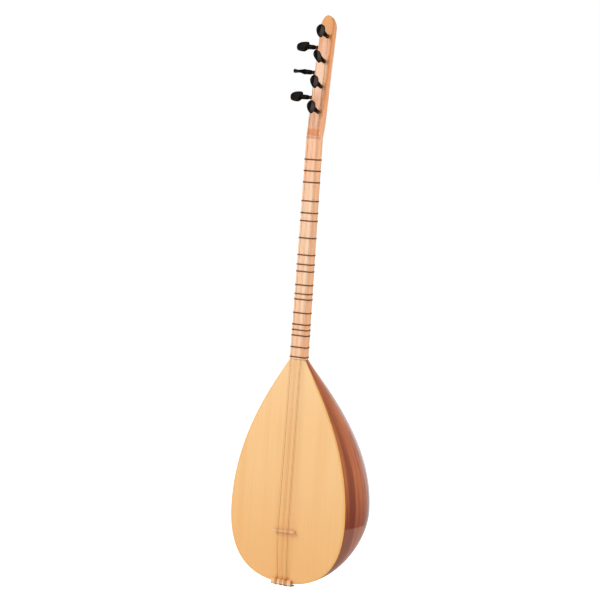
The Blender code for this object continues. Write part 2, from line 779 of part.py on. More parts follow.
def peg_sections(stand):
    """Distance from the wood, half breadth, half thickness, fullness and dish down a peg."""
    shank = stand - HEAD_LENGTH
    round_ones = [
        (-SHAFT_DEPTH, SHAFT_TIP_RADIUS),
        (0.0, SHANK_RADIUS),
        (shank * 0.42, SHANK_RADIUS),
        (shank * 0.50, SHANK_TOP_RADIUS),
        (shank - 0.0022, SHANK_TOP_RADIUS),
        (shank - 0.0014, COLLAR_RADIUS),
        (shank, COLLAR_RADIUS),
    ]
    sections = [(at, r, r, 2, 0) for at, r in round_ones]
    breadth, tip, waist = HEAD_HALF_BREADTH, HEAD_TIP_HALF_THICKNESS, HEAD_WAIST_HALF_THICKNESS
    for share, wide, thick, dish in (
        (0.03, 0.78, COLLAR_RADIUS * 0.92, 0.1),
        (0.09, 0.95, COLLAR_RADIUS * 0.88, 0.4),
        (0.26, 1.0, (COLLAR_RADIUS + waist) / 2, 1.0),
        (0.50, 0.99, waist * 1.12, 1.0),
        (0.70, 0.91, waist * 1.14, 1.0),
        (0.86, 0.73, tip * 0.92, 0.3),
        (0.96, 0.47, tip, 0.0),
        (1.0, 0.26, tip * 0.62, 0.0),
    ):
        at = shank + HEAD_LENGTH * share
        sections.append((at, breadth * wide, thick, 2.4, HEAD_DISH * dish))
    return sections


def make_peg(peg, sides=12):
    """One turned peg with a flat dished head, built on its own axis and set in its hole."""
    rings = []
    for at, breadth, thickness, fullness, dish in peg_sections(peg["stand"]):
        ring = []
        for i in range(sides):
            angle = 2 * math.pi * i / sides
            cosine, sine = math.cos(angle), math.sin(angle)
            x = math.copysign(abs(cosine) ** (2 / fullness), cosine) * breadth
            y = math.copysign(abs(sine) ** (2 / fullness), sine) * thickness
            ring.append(Vector((x, y * (1 - dish * sine**4), at)))
        rings.append(ring)
    obj = ring_loft(peg["name"], rings, EBONY)
    out = peg["out"]
    upward = (Vector((0, 0, 1)) - out * out.z).normalized()
    across = out.cross(upward)
    turn = math.radians(peg["turn"])
    broad = upward * math.cos(turn) + across * math.sin(turn)
    flat = out.cross(broad)
    matrix = obj.matrix_world.copy()
    for k in range(3):
        matrix[k][0], matrix[k][1], matrix[k][2], matrix[k][3] = broad[k], flat[k], out[k], peg["base"][k]
    obj.matrix_world = matrix


def fret_height(step):
    """Height of a fret below the nut, from the equal steps of the octave."""
    return -SCALE_LENGTH * (1 - 2 ** (-step / 12))


def make_frets():
    """Each fret is one line wound round the neck, with its two ends tucked at the back."""
    for number, step in enumerate(FRET_STEPS):
        middle = fret_height(step)
        stand = FRET_RADIUS + GAP
        ring = neck_ring(middle, stand)
        back_corner = len(ring) // 2
        ring = ring[back_corner:] + ring[:back_corner]
        count = len(ring)
        steps = FRET_TURNS * count + 1
        points = []
        for i in range(steps):
            point = ring[i % count].copy()
            point.z = middle + FRET_PITCH * (i / count - steps / count / 2)
            points.append(point)
        tube(f"fret_{number + 1}", points, FRET_RADIUS, GUT)


def winding(peg, wire, arrive, side):
    """Points of a string from where it meets a peg's shank to the end of its last turn."""
    out = peg["out"]
    axis_start = peg["base"] + out * peg["start"]
    radius = SHANK_RADIUS + GAP + wire
    toward = arrive - axis_start
    toward -= out * toward.dot(out)
    distance = toward.length
    first = toward.normalized()
    second = out.cross(first) * side
    begin = math.acos(radius / distance)
    points = []
    for i in range(WINDING_TURNS * WINDING_POINTS + 1):
        turned = i / WINDING_POINTS
        angle = begin + 2 * math.pi * turned
        radial = first * math.cos(angle) + second * math.sin(angle)
        points.append(axis_start + out * (WINDING_PITCH * turned) + radial * radius)
    angle += 2 * math.pi / WINDING_POINTS
    radial = first * math.cos(angle) + second * math.sin(angle)
    lift = out * WINDING_PITCH * (WINDING_TURNS + 0.25)
    points.append(axis_start + lift + radial * (radius + 2.5 * wire))
    points.append(axis_start + lift + radial * (SHANK_RADIUS + GAP))
    return points


def make_strings():
    """Seven strings, each whole from its knot under the tailpiece to its turns on a peg."""
    by_name = {peg["name"]: peg for peg in pegs()}
    least = 1.0
    for index, (_, _, wire) in enumerate(STRINGS):
        peg = by_name[STRING_PEGS[index]]
        top, bottom = string_tail(index)
        drop = Vector((0, 0, GAP + KNOT_RADIUS))
        route = [
            bottom - drop * 1.9,
            bottom - drop * 1.5,
            bottom - drop,
            bottom - Vector((0, 0, GAP)),
            top - Vector((0, 0, 0.001)),
            top + Vector((0, 0, 0.0006)),
            string_at_bridge(index),
            string_at_nut(index) - Vector((0, 0, 0.001)),
            string_at_nut(index) + Vector((0, 0, NUT_LENGTH * 0.6)),
        ]
        ball = KNOT_RADIUS / wire
        sizes = [0.6 * ball, ball, ball, 1] + [1] * (len(route) - 4)
        side = -1 if peg["name"] == LEFT_OF_ITS_PEG else 1
        if peg["name"] in SIDE_STRING_LEADS:
            along = peg["along"] - SIDE_STRING_LEADS[peg["name"]]
            edge = peghead_size(along)[0]
            route.append(head_point(-edge + 0.0006, along, -0.0006 - wire + 0.0002))
            route.append(head_point(-edge - 0.0004 - wire, along + 0.002, 0.0008))
        turns = winding(peg, wire, route[-1], side)
        sizes += [1] * (len(route) - len(sizes) + len(turns))
        least = min(least, least_gap(turns, wire))
        finish = COPPER if wire > 0.00025 else STEEL
        tube(f"string_{index + 1}", route + turns, wire, finish, sizes)
    print(f"Least gap between the turns on a peg: {least * 1000:.2f} mm")


def least_gap(points, wire):
    """Least distance between stretches of one wound line that lie a turn or more apart, less its width."""
    dense = []
    for a, b in zip(points, points[1:]):
        dense += [a.lerp(b, k / 6) for k in range(6)]
    least = 1.0
    half_turn = WINDING_POINTS * 3
    for i, a in enumerate(dense):
        for b in dense[i + half_turn:]:
            least = min(least, (a - b).length)
    return least - 2 * wire


clear_scene()
PARTS = new_collection("short_neck_baglama")
CUTTERS = new_collection("cutters")
make_soundboard()
make_ribs()
make_end_cap()
make_blocks_and_braces()
make_neck()
make_peghead()
make_nut()
make_bridge()
make_tailpiece()
for one_peg in pegs():
    make_peg(one_peg)
make_frets()
make_strings()
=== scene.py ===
"""Looks of the short-neck baglama: its woods, lacquer, tied frets, strings and pegs."""

import json
import math

import bpy
import numpy as np
from mathutils import Matrix, Vector


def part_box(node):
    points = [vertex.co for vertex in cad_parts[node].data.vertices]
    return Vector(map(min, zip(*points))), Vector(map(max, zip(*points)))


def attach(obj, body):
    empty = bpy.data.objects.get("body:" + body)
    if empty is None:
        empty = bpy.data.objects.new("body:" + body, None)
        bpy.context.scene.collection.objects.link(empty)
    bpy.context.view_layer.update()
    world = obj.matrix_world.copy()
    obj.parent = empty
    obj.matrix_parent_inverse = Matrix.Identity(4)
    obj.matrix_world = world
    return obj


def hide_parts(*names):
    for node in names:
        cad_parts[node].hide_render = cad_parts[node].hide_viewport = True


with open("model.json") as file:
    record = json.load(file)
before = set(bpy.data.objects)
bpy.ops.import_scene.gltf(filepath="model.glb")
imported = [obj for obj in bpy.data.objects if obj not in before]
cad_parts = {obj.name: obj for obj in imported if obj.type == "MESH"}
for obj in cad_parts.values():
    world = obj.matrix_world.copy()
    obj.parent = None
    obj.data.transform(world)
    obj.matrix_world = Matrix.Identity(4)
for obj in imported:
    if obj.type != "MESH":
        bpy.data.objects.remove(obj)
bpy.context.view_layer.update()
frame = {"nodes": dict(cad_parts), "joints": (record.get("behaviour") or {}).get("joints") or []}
NODES = frame["nodes"]
SCENE = bpy.context.scene

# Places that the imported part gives, in metres

BOARD_LOW, BOARD_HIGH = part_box("soundboard")
BRIDGE_LOW, BRIDGE_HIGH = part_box("bridge")
BELLY_HALF_WIDTH = BOARD_HIGH.x
TAIL_Z = BOARD_LOW.z
JOINT_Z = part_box("rib_7")[1].z
BRIDGE_X = (BRIDGE_LOW.x + BRIDGE_HIGH.x) / 2
BRIDGE_Z = (BRIDGE_LOW.z + BRIDGE_HIGH.z) / 2
PEGS = {
    joint["child"]: (Vector(joint["pos_m"]), Vector(joint["axis"]).normalized())
    for joint in frame["joints"]
    if joint["type"] == "hinge"
}

# The bowl and the soundboard

BELLY_Z = TAIL_Z + 0.119
TAIL_ROUND = 0.066
BELLY_ROUND = 0.088
SHOULDER_RISE = 0.127
SHOULDER_RUN = 0.052
SHOULDER_FLARE = math.radians(31)
DEEP_Y = 0.1977
DEEP_Z = TAIL_Z + 0.120
TAIL_REACH = 0.038
TAIL_SAG = math.radians(20)
DEPTH_ROUND = 0.048
BACK_RISE = 0.1207
HEEL_RUN = 0.0315
HEEL_FLARE = math.radians(33.5)
BOWL_FULLNESS = 2.15
STAVES = 13
STAVE_THICKNESS = 0.003
SEAM = 0.00003
CAP_REACH = 0.16
CAP_JOINT = 0.0001
CAP_START = 0.008
SOUND_HOLE_RADIUS = 0.008
SOUND_HOLE_Y = 0.034
RIM_Y = 0.0033
BOARD_THICKNESS = 0.0030
BORDER = 0.005
GAP = 0.0003

# The neck and the peghead

NECK_HALF_WIDTH = 0.0150
NUT_HALF_WIDTH = 0.0133
HEEL_DEPTH = 0.0254
NECK_TOP_DEPTH = 0.0215
NECK_SETBACK = 0.0035
FACE_EASE = 0.0011
CORNER_STEPS = 4
NUT_LENGTH = 0.0022
NUT_SEAT = 0.0020
PEGHEAD_TILT = math.radians(6.6)
PEGHEAD_LENGTH = 0.208
PEGHEAD_HALF_WIDTH = 0.0131
PEGHEAD_TIP_HALF_WIDTH = 0.0124
PEGHEAD_DEPTH = 0.0218
PEGHEAD_TIP_DEPTH = 0.0200
PEGHEAD_SHOULDER = 0.026
PEGHEAD_FULLNESS = 3.0
PEGHEAD_ROUND = 0.022
PEGHEAD_TIP_SHARE = 0.10
TIP_ANGLES = (*range(6, 67, 6), 71, 76, 80, 83, 86)

# The pegs and their holes

PEG_HOLE_RADIUS = 0.0034
PEG_HOLE_END_RADIUS = 0.0030
PEG_HOLE_DRILL = 0.019
PEG_HOLE_MIDDLE = 0.0055
FRONT_PEG_STAND = 0.0416
SIDE_PEG_STAND = 0.0455
HEAD_TURNS = {
    "front_peg_1": -5, "front_peg_2": -1, "front_peg_3": 14, "front_peg_4": -8,
    "side_peg_1": 38, "side_peg_2": 92, "side_peg_3": 40,
}
SHANK_RADIUS = 0.0030
HEAD_LENGTH = 0.0200
HEAD_HALF_BREADTH = 0.0106
HEAD_HALF_THICKNESS = 0.0047
HEAD_DISH = 0.30
PEG_SIDES = 40
# Shares of painted highlight laid in the dishes of the front and of the side peg heads
FRONT_DISH_PAINTED_SHEEN = 3.3
SIDE_DISH_PAINTED_SHEEN = 0.6
# Share of the shank's length, further distance, radius
SHANK_TURNING = (
    (0, -0.0145, 0.0024), (0, 0, SHANK_RADIUS), (0.42, 0, SHANK_RADIUS), (0.46, 0, 0.0036),
    (0.50, 0, 0.0039), (0.55, 0, 0.0040), (1, -0.0036, 0.0042), (1, -0.0030, 0.0040),
    (1, -0.0024, 0.0042), (1, -0.0018, 0.0046), (1, -0.0010, 0.0047), (1, -0.0002, 0.0047),
)
# Shares of the head's length, breadth and thickness, fullness, share of the dish
HEAD_SHAPE = (
    (0.02, 0.70, 0.93, 2.1, 0.1), (0.05, 0.86, 0.91, 2.2, 0.2), (0.09, 0.95, 0.88, 2.3, 0.4),
    (0.15, 0.985, 0.83, 2.4, 0.7), (0.26, 1.0, 0.77, 2.4, 1.0), (0.38, 1.0, 0.67, 2.4, 1.0),
    (0.50, 0.985, 0.62, 2.4, 1.0), (0.60, 0.955, 0.61, 2.4, 1.0), (0.70, 0.905, 0.62, 2.4, 0.9),
    (0.79, 0.825, 0.68, 2.4, 0.6), (0.86, 0.725, 0.75, 2.3, 0.3), (0.92, 0.60, 0.79, 2.2, 0.1),
    (0.96, 0.46, 0.76, 2.1, 0.0), (0.985, 0.34, 0.64, 2.0, 0.0), (1.0, 0.20, 0.40, 2.0, 0.0),
)

# The frets

SCALE_LENGTH = 0.670
FRET_STEPS = (
    0.96, 1.49, 2.04, 2.98, 3.61, 4.04, 5.01, 6.03, 6.63, 7.08,
    8.0, 8.63, 9.03, 10.06, 10.99, 11.45, 11.93, 12.98, 13.92,
)
FRET_RADIUS = 0.00036
FRET_PITCH = 0.00074
FRET_TURNS = 3
FRET_ARC = 25
FRET_FIT = 0.0001
KNOT_CORNER = 25
KNOT_POINTS = 19
KNOT_LOOP = 9
KNOT_OUT = 1.02
KNOT_STAND = 0.0007
KNOT_SIZE = (0.0009, 0.0005, 0.0012)

# The strings: place across the nut, place across the bridge, radius

PLAIN_RADIUS = 0.00015
WOUND_RADIUS = 0.00023
STRINGS = (
    (-0.0104, -0.0124, PLAIN_RADIUS),
    (-0.0082, -0.0097, WOUND_RADIUS),
    (-0.0011, -0.0014, PLAIN_RADIUS),
    (0.0013, 0.0014, PLAIN_RADIUS),
    (0.0074, 0.0072, PLAIN_RADIUS),
    (0.0092, 0.0097, WOUND_RADIUS),
    (0.0110, 0.0121, PLAIN_RADIUS),
)
STRING_PEGS = (
    "side_peg_1", "side_peg_2", "side_peg_3",
    "front_peg_1", "front_peg_2", "front_peg_3", "front_peg_4",
)
LEFT_OF_ITS_PEG = "front_peg_1"
SIDE_STRING_LEADS = {"side_peg_1": 0.036, "side_peg_2": 0.030, "side_peg_3": 0.028}
STRING_HEIGHT_AT_NUT = 0.0019
STRING_HEIGHT_AT_BRIDGE = 0.0088
BRIDGE_TURN = math.radians(2.3)
TAILPIECE_HEIGHT = 0.0066
TAILPIECE_FOOT = 0.0032
TAILPIECE_STAND = 0.0056
TAIL_SPREAD = 0.92
TAIL_HOLE_SHARE = 0.45
FRONT_WINDING_START = 0.0032
SIDE_WINDING_START = 0.0042
WINDING_TURNS = 4
WINDING_PITCH = 0.00085
WINDING_STEPS = 24
WINDING_FIT = 0.0001
LOOP_RADIUS = 0.00036


# Curves that the maker's moulds follow


def bezier(a, b, c, d, t):
    a, b, c, d = (np.array(p, float) for p in (a, b, c, d))
    return (1 - t) ** 3 * a + 3 * (1 - t) ** 2 * t * b + 3 * (1 - t) * t**2 * c + t**3 * d


def between(start, end, share):
    return start + (end - start) * share


def rim_line(t):
    """Half outline of the bowl's rim, (x, z), from the tail at 0 to the neck at 1."""
    belly = (BELLY_HALF_WIDTH, BELLY_Z)
    if t <= 0.5:
        low, side = (TAIL_ROUND, TAIL_Z), (BELLY_HALF_WIDTH, BELLY_Z - BELLY_ROUND)
        return bezier((0, TAIL_Z), low, side, belly, 2 * t)
    above = (BELLY_HALF_WIDTH, BELLY_Z + SHOULDER_RISE)
    flare = (
        NECK_HALF_WIDTH + SHOULDER_RUN * math.sin(SHOULDER_FLARE),
        JOINT_Z - SHOULDER_RUN * math.cos(SHOULDER_FLARE),
    )
    return bezier(belly, above, flare, (NECK_HALF_WIDTH, JOINT_Z), 2 * t - 1)


def back_line(t):
    """The bowl's back seen from the side, (y, z), from the tail at 0 to the heel at 1."""
    deepest = (DEEP_Y, DEEP_Z)
    if t <= 0.5:
        low = (TAIL_REACH * math.cos(TAIL_SAG), TAIL_Z - TAIL_REACH * math.sin(TAIL_SAG))
        return bezier((RIM_Y, TAIL_Z), low, (DEEP_Y, DEEP_Z - DEPTH_ROUND), deepest, 2 * t)
    heel = (
        HEEL_DEPTH + HEEL_RUN * math.sin(HEEL_FLARE),
        JOINT_Z - HEEL_RUN * math.cos(HEEL_FLARE),
    )
    return bezier(deepest, (DEEP_Y, DEEP_Z + BACK_RISE), heel, (HEEL_DEPTH, JOINT_Z), 2 * t - 1)


SECTIONS = {}


def bowl_section(t):
    """Points across the bowl from the right rim to the left, and the girth up to each."""
    if t not in SECTIONS:
        angle = np.linspace(0, math.pi, 361)
        (x, rim_z), (y, back_z) = rim_line(t), back_line(t)
        side = np.sign(np.cos(angle)) * np.abs(np.cos(angle)) ** (2 / BOWL_FULLNESS)
        deep = np.abs(np.sin(angle)) ** (2 / BOWL_FULLNESS)
        lift = (back_z - rim_z) * np.sin(angle) ** 2
        points = np.stack([x * side, RIM_Y + (y - RIM_Y) * deep, rim_z + lift], axis=1)
        steps = np.linalg.norm(np.diff(points, axis=0), axis=1)
        SECTIONS[t] = points, np.concatenate([[0], np.cumsum(steps)])
    return SECTIONS[t]


def bowl_point(t, share):
    points, girth = bowl_section(t)
    return [np.interp(share * girth[-1], girth, points[:, k]) for k in range(3)]


def neck_size(z):
    """Half width, depth and set-back of the neck's face at height z."""
    rise = 1 - z / JOINT_Z
    half_width = between(NECK_HALF_WIDTH, NUT_HALF_WIDTH, rise)
    return half_width, between(HEEL_DEPTH, NECK_TOP_DEPTH, rise), NECK_SETBACK * rise


def half_round(half_width, depth, fullness, grow=0.0, arc=31):
    """A section flat in front and round behind, as (x, depth), from the right front corner."""
    half_width, back = half_width + grow, depth + grow
    ease = FACE_EASE + grow * 0.4
    corner = []
    for i in range(CORNER_STEPS + 1):
        turn = math.pi / 2 * i / CORNER_STEPS
        corner.append((half_width - ease + ease * math.sin(turn), ease - grow - ease * math.cos(turn)))
    ring = list(corner)
    for i in range(arc + 1):
        angle = math.pi * i / arc
        x = math.copysign(abs(math.cos(angle)) ** (2 / fullness), math.cos(angle))
        y = abs(math.sin(angle)) ** (2 / fullness)
        ring.append((half_width * x, RIM_Y + (back - RIM_Y) * y))
    return ring + [(-x, y) for x, y in reversed(corner)]


def head_point(x, along, behind):
    """A point of the peghead: across, along its face from the nut, and behind its face."""
    sine, cosine = math.sin(PEGHEAD_TILT), math.cos(PEGHEAD_TILT)
    return Vector((x, NECK_SETBACK + along * sine + behind * cosine, along * cosine - behind * sine))


def head_size(along):
    """Half width, depth and fullness of the peghead at a distance from the nut."""
    straight = (along - PEGHEAD_SHOULDER) / (PEGHEAD_LENGTH - PEGHEAD_SHOULDER)
    half_width = between(PEGHEAD_HALF_WIDTH, PEGHEAD_TIP_HALF_WIDTH, straight)
    depth = between(PEGHEAD_DEPTH, PEGHEAD_TIP_DEPTH, straight)
    if along >= PEGHEAD_SHOULDER:
        return half_width, depth, PEGHEAD_FULLNESS
    ease = 0.5 - 0.5 * math.cos(math.pi * along / PEGHEAD_SHOULDER)
    return (
        between(NUT_HALF_WIDTH, half_width, ease),
        between(NECK_TOP_DEPTH, depth, ease),
        between(BOWL_FULLNESS, PEGHEAD_FULLNESS, ease),
    )


# Hand work on meshes


def deselect():
    if bpy.context.object and bpy.context.object.mode != "OBJECT":
        bpy.ops.object.mode_set(mode="OBJECT")
    bpy.ops.object.select_all(action="DESELECT")


def select_only(obj):
    deselect()
    bpy.context.view_layer.objects.active = obj
    obj.select_set(True)


def edit(obj):
    select_only(obj)
    bpy.ops.object.mode_set(mode="EDIT")
    bpy.ops.mesh.select_all(action="SELECT")


def shaped_sheet(name, rows, columns, place, grain=None):
    """A grid primitive drawn out to its form: place(row, column) gives each point."""
    deselect()
    bpy.ops.mesh.primitive_grid_add(x_subdivisions=columns - 1, y_subdivisions=rows - 1, size=1)
    obj = bpy.context.object
    obj.name = name
    flat = np.empty(len(obj.data.vertices) * 3)
    obj.data.vertices.foreach_get("co", flat)
    flat = flat.reshape(-1, 3) + 0.5
    across = np.rint(flat[:, 0] * (columns - 1)).astype(int)
    along = np.rint(flat[:, 1] * (rows - 1)).astype(int)
    points = np.array([[place(r, c) for c in range(columns)] for r in range(rows)], float)
    obj.data.vertices.foreach_set("co", points[along, across].ravel())
    if grain is not None:
        layer = obj.data.uv_layers[0]
        layer.name = "grain"
        corners = np.empty(len(obj.data.loops), int)
        obj.data.loops.foreach_get("vertex_index", corners)
        table = np.array([[grain(r, c) for c in range(columns)] for r in range(rows)], float)
        layer.data.foreach_set("uv", table[along, across][corners].ravel())
    obj.data.update()
    return obj


def turned_solid(name, rings):
    """A closed solid drawn through rings of points, its ends filled, its normals outward."""
    rows, columns = len(rings), len(rings[0]) + 1
    obj = shaped_sheet(name, rows, columns, lambda r, c: rings[r][c % (columns - 1)])
    edit(obj)
    bpy.ops.mesh.remove_doubles(threshold=1e-6)
    bpy.ops.mesh.select_all(action="DESELECT")
    bpy.ops.mesh.select_mode(type="EDGE")
    bpy.ops.mesh.select_non_manifold()
    bpy.ops.mesh.fill_holes(sides=0)
    bpy.ops.mesh.select_all(action="SELECT")
    bpy.ops.mesh.normals_make_consistent(inside=False)
    bpy.ops.object.mode_set(mode="OBJECT")
    return obj


def apply_modifier(obj, kind, **settings):
    select_only(obj)
    modifier = obj.modifiers.new(kind.lower(), kind)
    for key, value in settings.items():
        setattr(modifier, key, value)
    bpy.ops.object.modifier_apply(modifier=modifier.name)


def smooth(obj, degrees):
    select_only(obj)
    bpy.ops.object.shade_smooth_by_angle(angle=math.radians(degrees))


def round_edges(obj, width, segments, degrees):
    """Eases every edge that is sharper than the angle."""
    limit = math.radians(degrees)
    apply_modifier(
        obj, "BEVEL", width=width, segments=segments, limit_method="ANGLE", angle_limit=limit
    )
    smooth(obj, degrees=35)


def even_gloss(obj):
    """Lets the broad faces keep their own slope up to the seams, so that only the seams turn."""
    apply_modifier(obj, "WEIGHTED_NORMAL", mode="FACE_AREA", weight=50, keep_sharp=True)


def give_thickness(obj):
    """Walls of a stave's thickness inward from the surface."""
    apply_modifier(obj, "SOLIDIFY", thickness=STAVE_THICKNESS, offset=-1, use_even_offset=True)


def bore(obj, drill):
    """Cuts the drill's shape out of a piece and takes the drill away."""
    apply_modifier(obj, "BOOLEAN", operation="DIFFERENCE", object=drill, solver="EXACT")
    bpy.data.objects.remove(drill)


def merged_copy(node, name):
    """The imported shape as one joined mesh, ready for its edges to be eased."""
    obj = bpy.data.objects.new(name, NODES[node].data.copy())
    SCENE.collection.objects.link(obj)
    edit(obj)
    bpy.ops.mesh.remove_doubles(threshold=2e-6)
    bpy.ops.mesh.normals_make_consistent(inside=False)
    bpy.ops.mesh.dissolve_limited(angle_limit=math.radians(0.5))
    bpy.ops.object.mode_set(mode="OBJECT")
    return obj


def wire(name, points, radius):
    """A line of round section through points, made a mesh."""
    curve = bpy.data.curves.new(name, "CURVE")
    curve.dimensions = "3D"
    curve.bevel_depth = radius
    curve.bevel_resolution = 3
    curve.use_fill_caps = True
    spline = curve.splines.new("POLY")
    spline.points.add(len(points) - 1)
    for spot, point in zip(spline.points, points):
        spot.co = (*point, 1)
    spline.use_smooth = True
    drawn = bpy.data.objects.new(name, curve)
    SCENE.collection.objects.link(drawn)
    select_only(drawn)
    bpy.ops.object.convert(target="MESH")
    obj = bpy.context.object
    edit(obj)
    bpy.ops.mesh.remove_doubles(threshold=1e-7)
    bpy.ops.mesh.normals_make_consistent(inside=False)
    bpy.ops.object.mode_set(mode="OBJECT")
    smooth(obj, degrees=50)
    return obj


def join(name, pieces):
    deselect()
    for piece in pieces:
        piece.select_set(True)
    bpy.context.view_layer.objects.active = pieces[0]
    bpy.ops.object.join()
    pieces[0].name = name
    return pieces[0]


def fit(obj, finish, slot, body, *nodes):
    """Gives a piece its material, sets it on its body and hides what it stands for. The slot is not used.
    """
    obj.data.materials.clear()
    obj.data.materials.append(finish)
    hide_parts(*nodes)
    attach(obj, body)


# Nodes of the finishes


def feed(tree, socket, value):
    """Gives a socket a number, a vector or a colour, or links what another node puts out."""
    if isinstance(value, bpy.types.NodeSocket):
        tree.links.new(value, socket)
    elif socket.type == "RGBA":
        socket.default_value = (*value, 1)
    else:
        socket.default_value = value


def add_node(tree, kind, inputs, **settings):
    """The outputs of a new node with these settings, its inputs fed by name or number."""
    node = tree.nodes.new("ShaderNode" + kind)
    for name, value in settings.items():
        setattr(node, name, value)
    for key, value in inputs.items():
        feed(tree, node.inputs[key], value)
    return node.outputs


def worked_out(tree, operation, a, b):
    """The sum, difference or product of two values."""
    return add_node(tree, "Math", {0: a, 1: b}, operation=operation)["Value"]


def multiply(tree, a, b):
    return worked_out(tree, "MULTIPLY", a, b)


def mask_between(tree, value, start, end, kind="SMOOTHSTEP"):
    """0 before start, 1 past end, smooth between them."""
    limits = {"Value": value, "From Min": start, "From Max": end}
    return add_node(tree, "MapRange", limits, interpolation_type=kind)["Result"]


def blend_colour(tree, factor, first, second):
    return add_node(tree, "Mix", {"Factor": factor, 6: first, 7: second}, data_type="RGBA")[2]


def tint(tree, colour, mask, share, second):
    """Lays a second colour over the first where the mask says, as thickly as the share says."""
    return blend_colour(tree, multiply(tree, mask, share), colour, second)


def zone(tree, parts, limits):
    """A mask of where all the limits hold, each an axis, where it starts and where it is full."""
    mask = None
    for axis, start, end in limits:
        one = mask_between(tree, parts[axis], start, end)
        mask = one if mask is None else multiply(tree, mask, one)
    return mask


def tint_zones(tree, colour, parts, tints):
    """Lays on tint after tint, each a share, a colour and the limits of its zone."""
    for share, second, *limits in tints:
        colour = tint(tree, colour, zone(tree, parts, limits), share, second)
    return colour


def own_coordinates(tree):
    return add_node(tree, "TexCoord", {})["Object"]


def own_map(tree):
    """The piece's own map, across and along it in metres."""
    return add_node(tree, "UVMap", {}, uv_map="grain")["UV"]


def attribute(tree, name):
    return add_node(tree, "Attribute", {}, attribute_name=name)["Fac"]


def parts_of(tree, vector):
    """A vector's X, Y and Z by name."""
    separate = add_node(tree, "SeparateXYZ", {"Vector": vector})
    return {axis: separate[axis] for axis in "XYZ"}


def scaled(tree, vector, scale, place=(0, 0, 0)):
    """Coordinates scaled per axis, so that a pattern runs along the one with the least scale."""
    inputs = {"Vector": vector, "Scale": scale, "Location": place}
    return add_node(tree, "Mapping", inputs)["Vector"]


GRAIN_SPREAD = (0.36, 0.64)
STREAK_BAND = (0.54, 0.66)


def grain_group():
    """Wood grain: fine streaks and broad bands between a light and a dark colour, with pores."""
    group = bpy.data.node_groups.new("wood_grain", "ShaderNodeTree")
    face = group.interface
    face.new_socket("Vector", in_out="INPUT", socket_type="NodeSocketVector")
    for name in ("Light", "Dark", "Streak"):
        face.new_socket(name, in_out="INPUT", socket_type="NodeSocketColor")
    for name in ("Fine Scale", "Broad Scale", "Fine Share", "Contrast", "Streak Share"):
        face.new_socket(name, in_out="INPUT", socket_type="NodeSocketFloat")
    face.new_socket("Color", in_out="OUTPUT", socket_type="NodeSocketColor")
    face.new_socket("Height", in_out="OUTPUT", socket_type="NodeSocketFloat")
    given = group.nodes.new("NodeGroupInput").outputs
    put_out = group.nodes.new("NodeGroupOutput").inputs
    noise = {}
    for name, detail in (("Fine", 4), ("Broad", 2)):
        inputs = {"Vector": given["Vector"], "Scale": given[name + " Scale"], "Detail": detail}
        noise[name] = add_node(group, "TexNoise", inputs)["Fac"]
    mixed = {"Factor": given["Fine Share"], "A": noise["Broad"], "B": noise["Fine"]}
    both = add_node(group, "Mix", mixed)["Result"]
    spread = mask_between(group, both, *GRAIN_SPREAD, "LINEAR")
    bands = mask_between(group, noise["Broad"], *STREAK_BAND, "LINEAR")
    colour = tint(group, given["Light"], spread, given["Contrast"], given["Dark"])
    colour = tint(group, colour, bands, given["Streak Share"], given["Streak"])
    feed(group, put_out["Color"], colour)
    feed(group, put_out["Height"], spread)
    return group


WOOD_GRAIN = grain_group()


def add_grain(tree, vector, look):
    """Places the grain group with this wood's look; gives its colour and its height."""
    grain = tree.nodes.new("ShaderNodeGroup")
    grain.node_tree = WOOD_GRAIN
    for socket, value in zip(grain.inputs, (vector, *look)):
        feed(tree, socket, value)
    return grain.outputs["Color"], grain.outputs["Height"]


def new_material(name, roughness, specular, coat=0.0, coat_roughness=0.1):
    made = bpy.data.materials.new(name)
    made.use_nodes = True
    shader = made.node_tree.nodes["Principled BSDF"]
    for socket, value in (
        ("Roughness", roughness),
        ("Specular IOR Level", specular),
        ("Coat Weight", coat),
        ("Coat Roughness", coat_roughness),
    ):
        shader.inputs[socket].default_value = value
    return made, made.node_tree, shader


RELIEF_DEPTH = 0.0002


def lay_on(tree, shader, colour, height, strength):
    """Gives the shader its colour and a fine relief."""
    feed(tree, shader.inputs["Base Color"], colour)
    relief = add_node(tree, "Bump", {"Height": height, "Strength": strength, "Distance": RELIEF_DEPTH})
    feed(tree, shader.inputs["Normal"], relief["Normal"])


# Looks: light, dark and streak colours, fine and broad scales, fine share, contrast, streak share

SPRUCE_LOOK = (
    (0.96, 0.600, 0.275), (0.91, 0.520, 0.215), (0.86, 0.465, 0.172), 430, 26, 0.62, 0.75, 0.25,
)
BEECH_LOOK = (
    (1.00, 0.750, 0.530), (1.00, 0.650, 0.420), (0.93, 0.530, 0.290), 300, 85, 0.5, 0.7, 0.35,
)
HEAD_LOOK = (
    (0.86, 0.460, 0.255), (0.74, 0.340, 0.165), (0.60, 0.220, 0.080), 300, 85, 0.45, 1.0, 0.8,
)
STAVE_LOOKS = (
    ((0.56, 0.166, 0.067), (0.31, 0.077, 0.029), (0.17, 0.042, 0.018), 330, 95, 0.45, 1.0, 0.70),
    ((0.66, 0.206, 0.084), (0.41, 0.108, 0.041), (0.20, 0.050, 0.020), 290, 80, 0.45, 1.0, 0.75),
    ((0.72, 0.212, 0.080), (0.46, 0.115, 0.041), (0.25, 0.056, 0.023), 350, 100, 0.45, 1.0, 0.65),
)
TAIL_LOOK = ((0.90, 0.64, 0.37), (0.80, 0.50, 0.25), (0.68, 0.38, 0.17), 300, 90, 0.5, 0.7, 0.3)
MAPLE_LOOK = ((0.88, 0.53, 0.30), (0.83, 0.48, 0.26), (0.78, 0.42, 0.22), 500, 60, 0.6, 0.6, 0.1)
BONE_LOOK = ((0.82, 0.44, 0.21), (0.76, 0.38, 0.17), (0.72, 0.35, 0.15), 260, 60, 0.5, 0.5, 0.1)
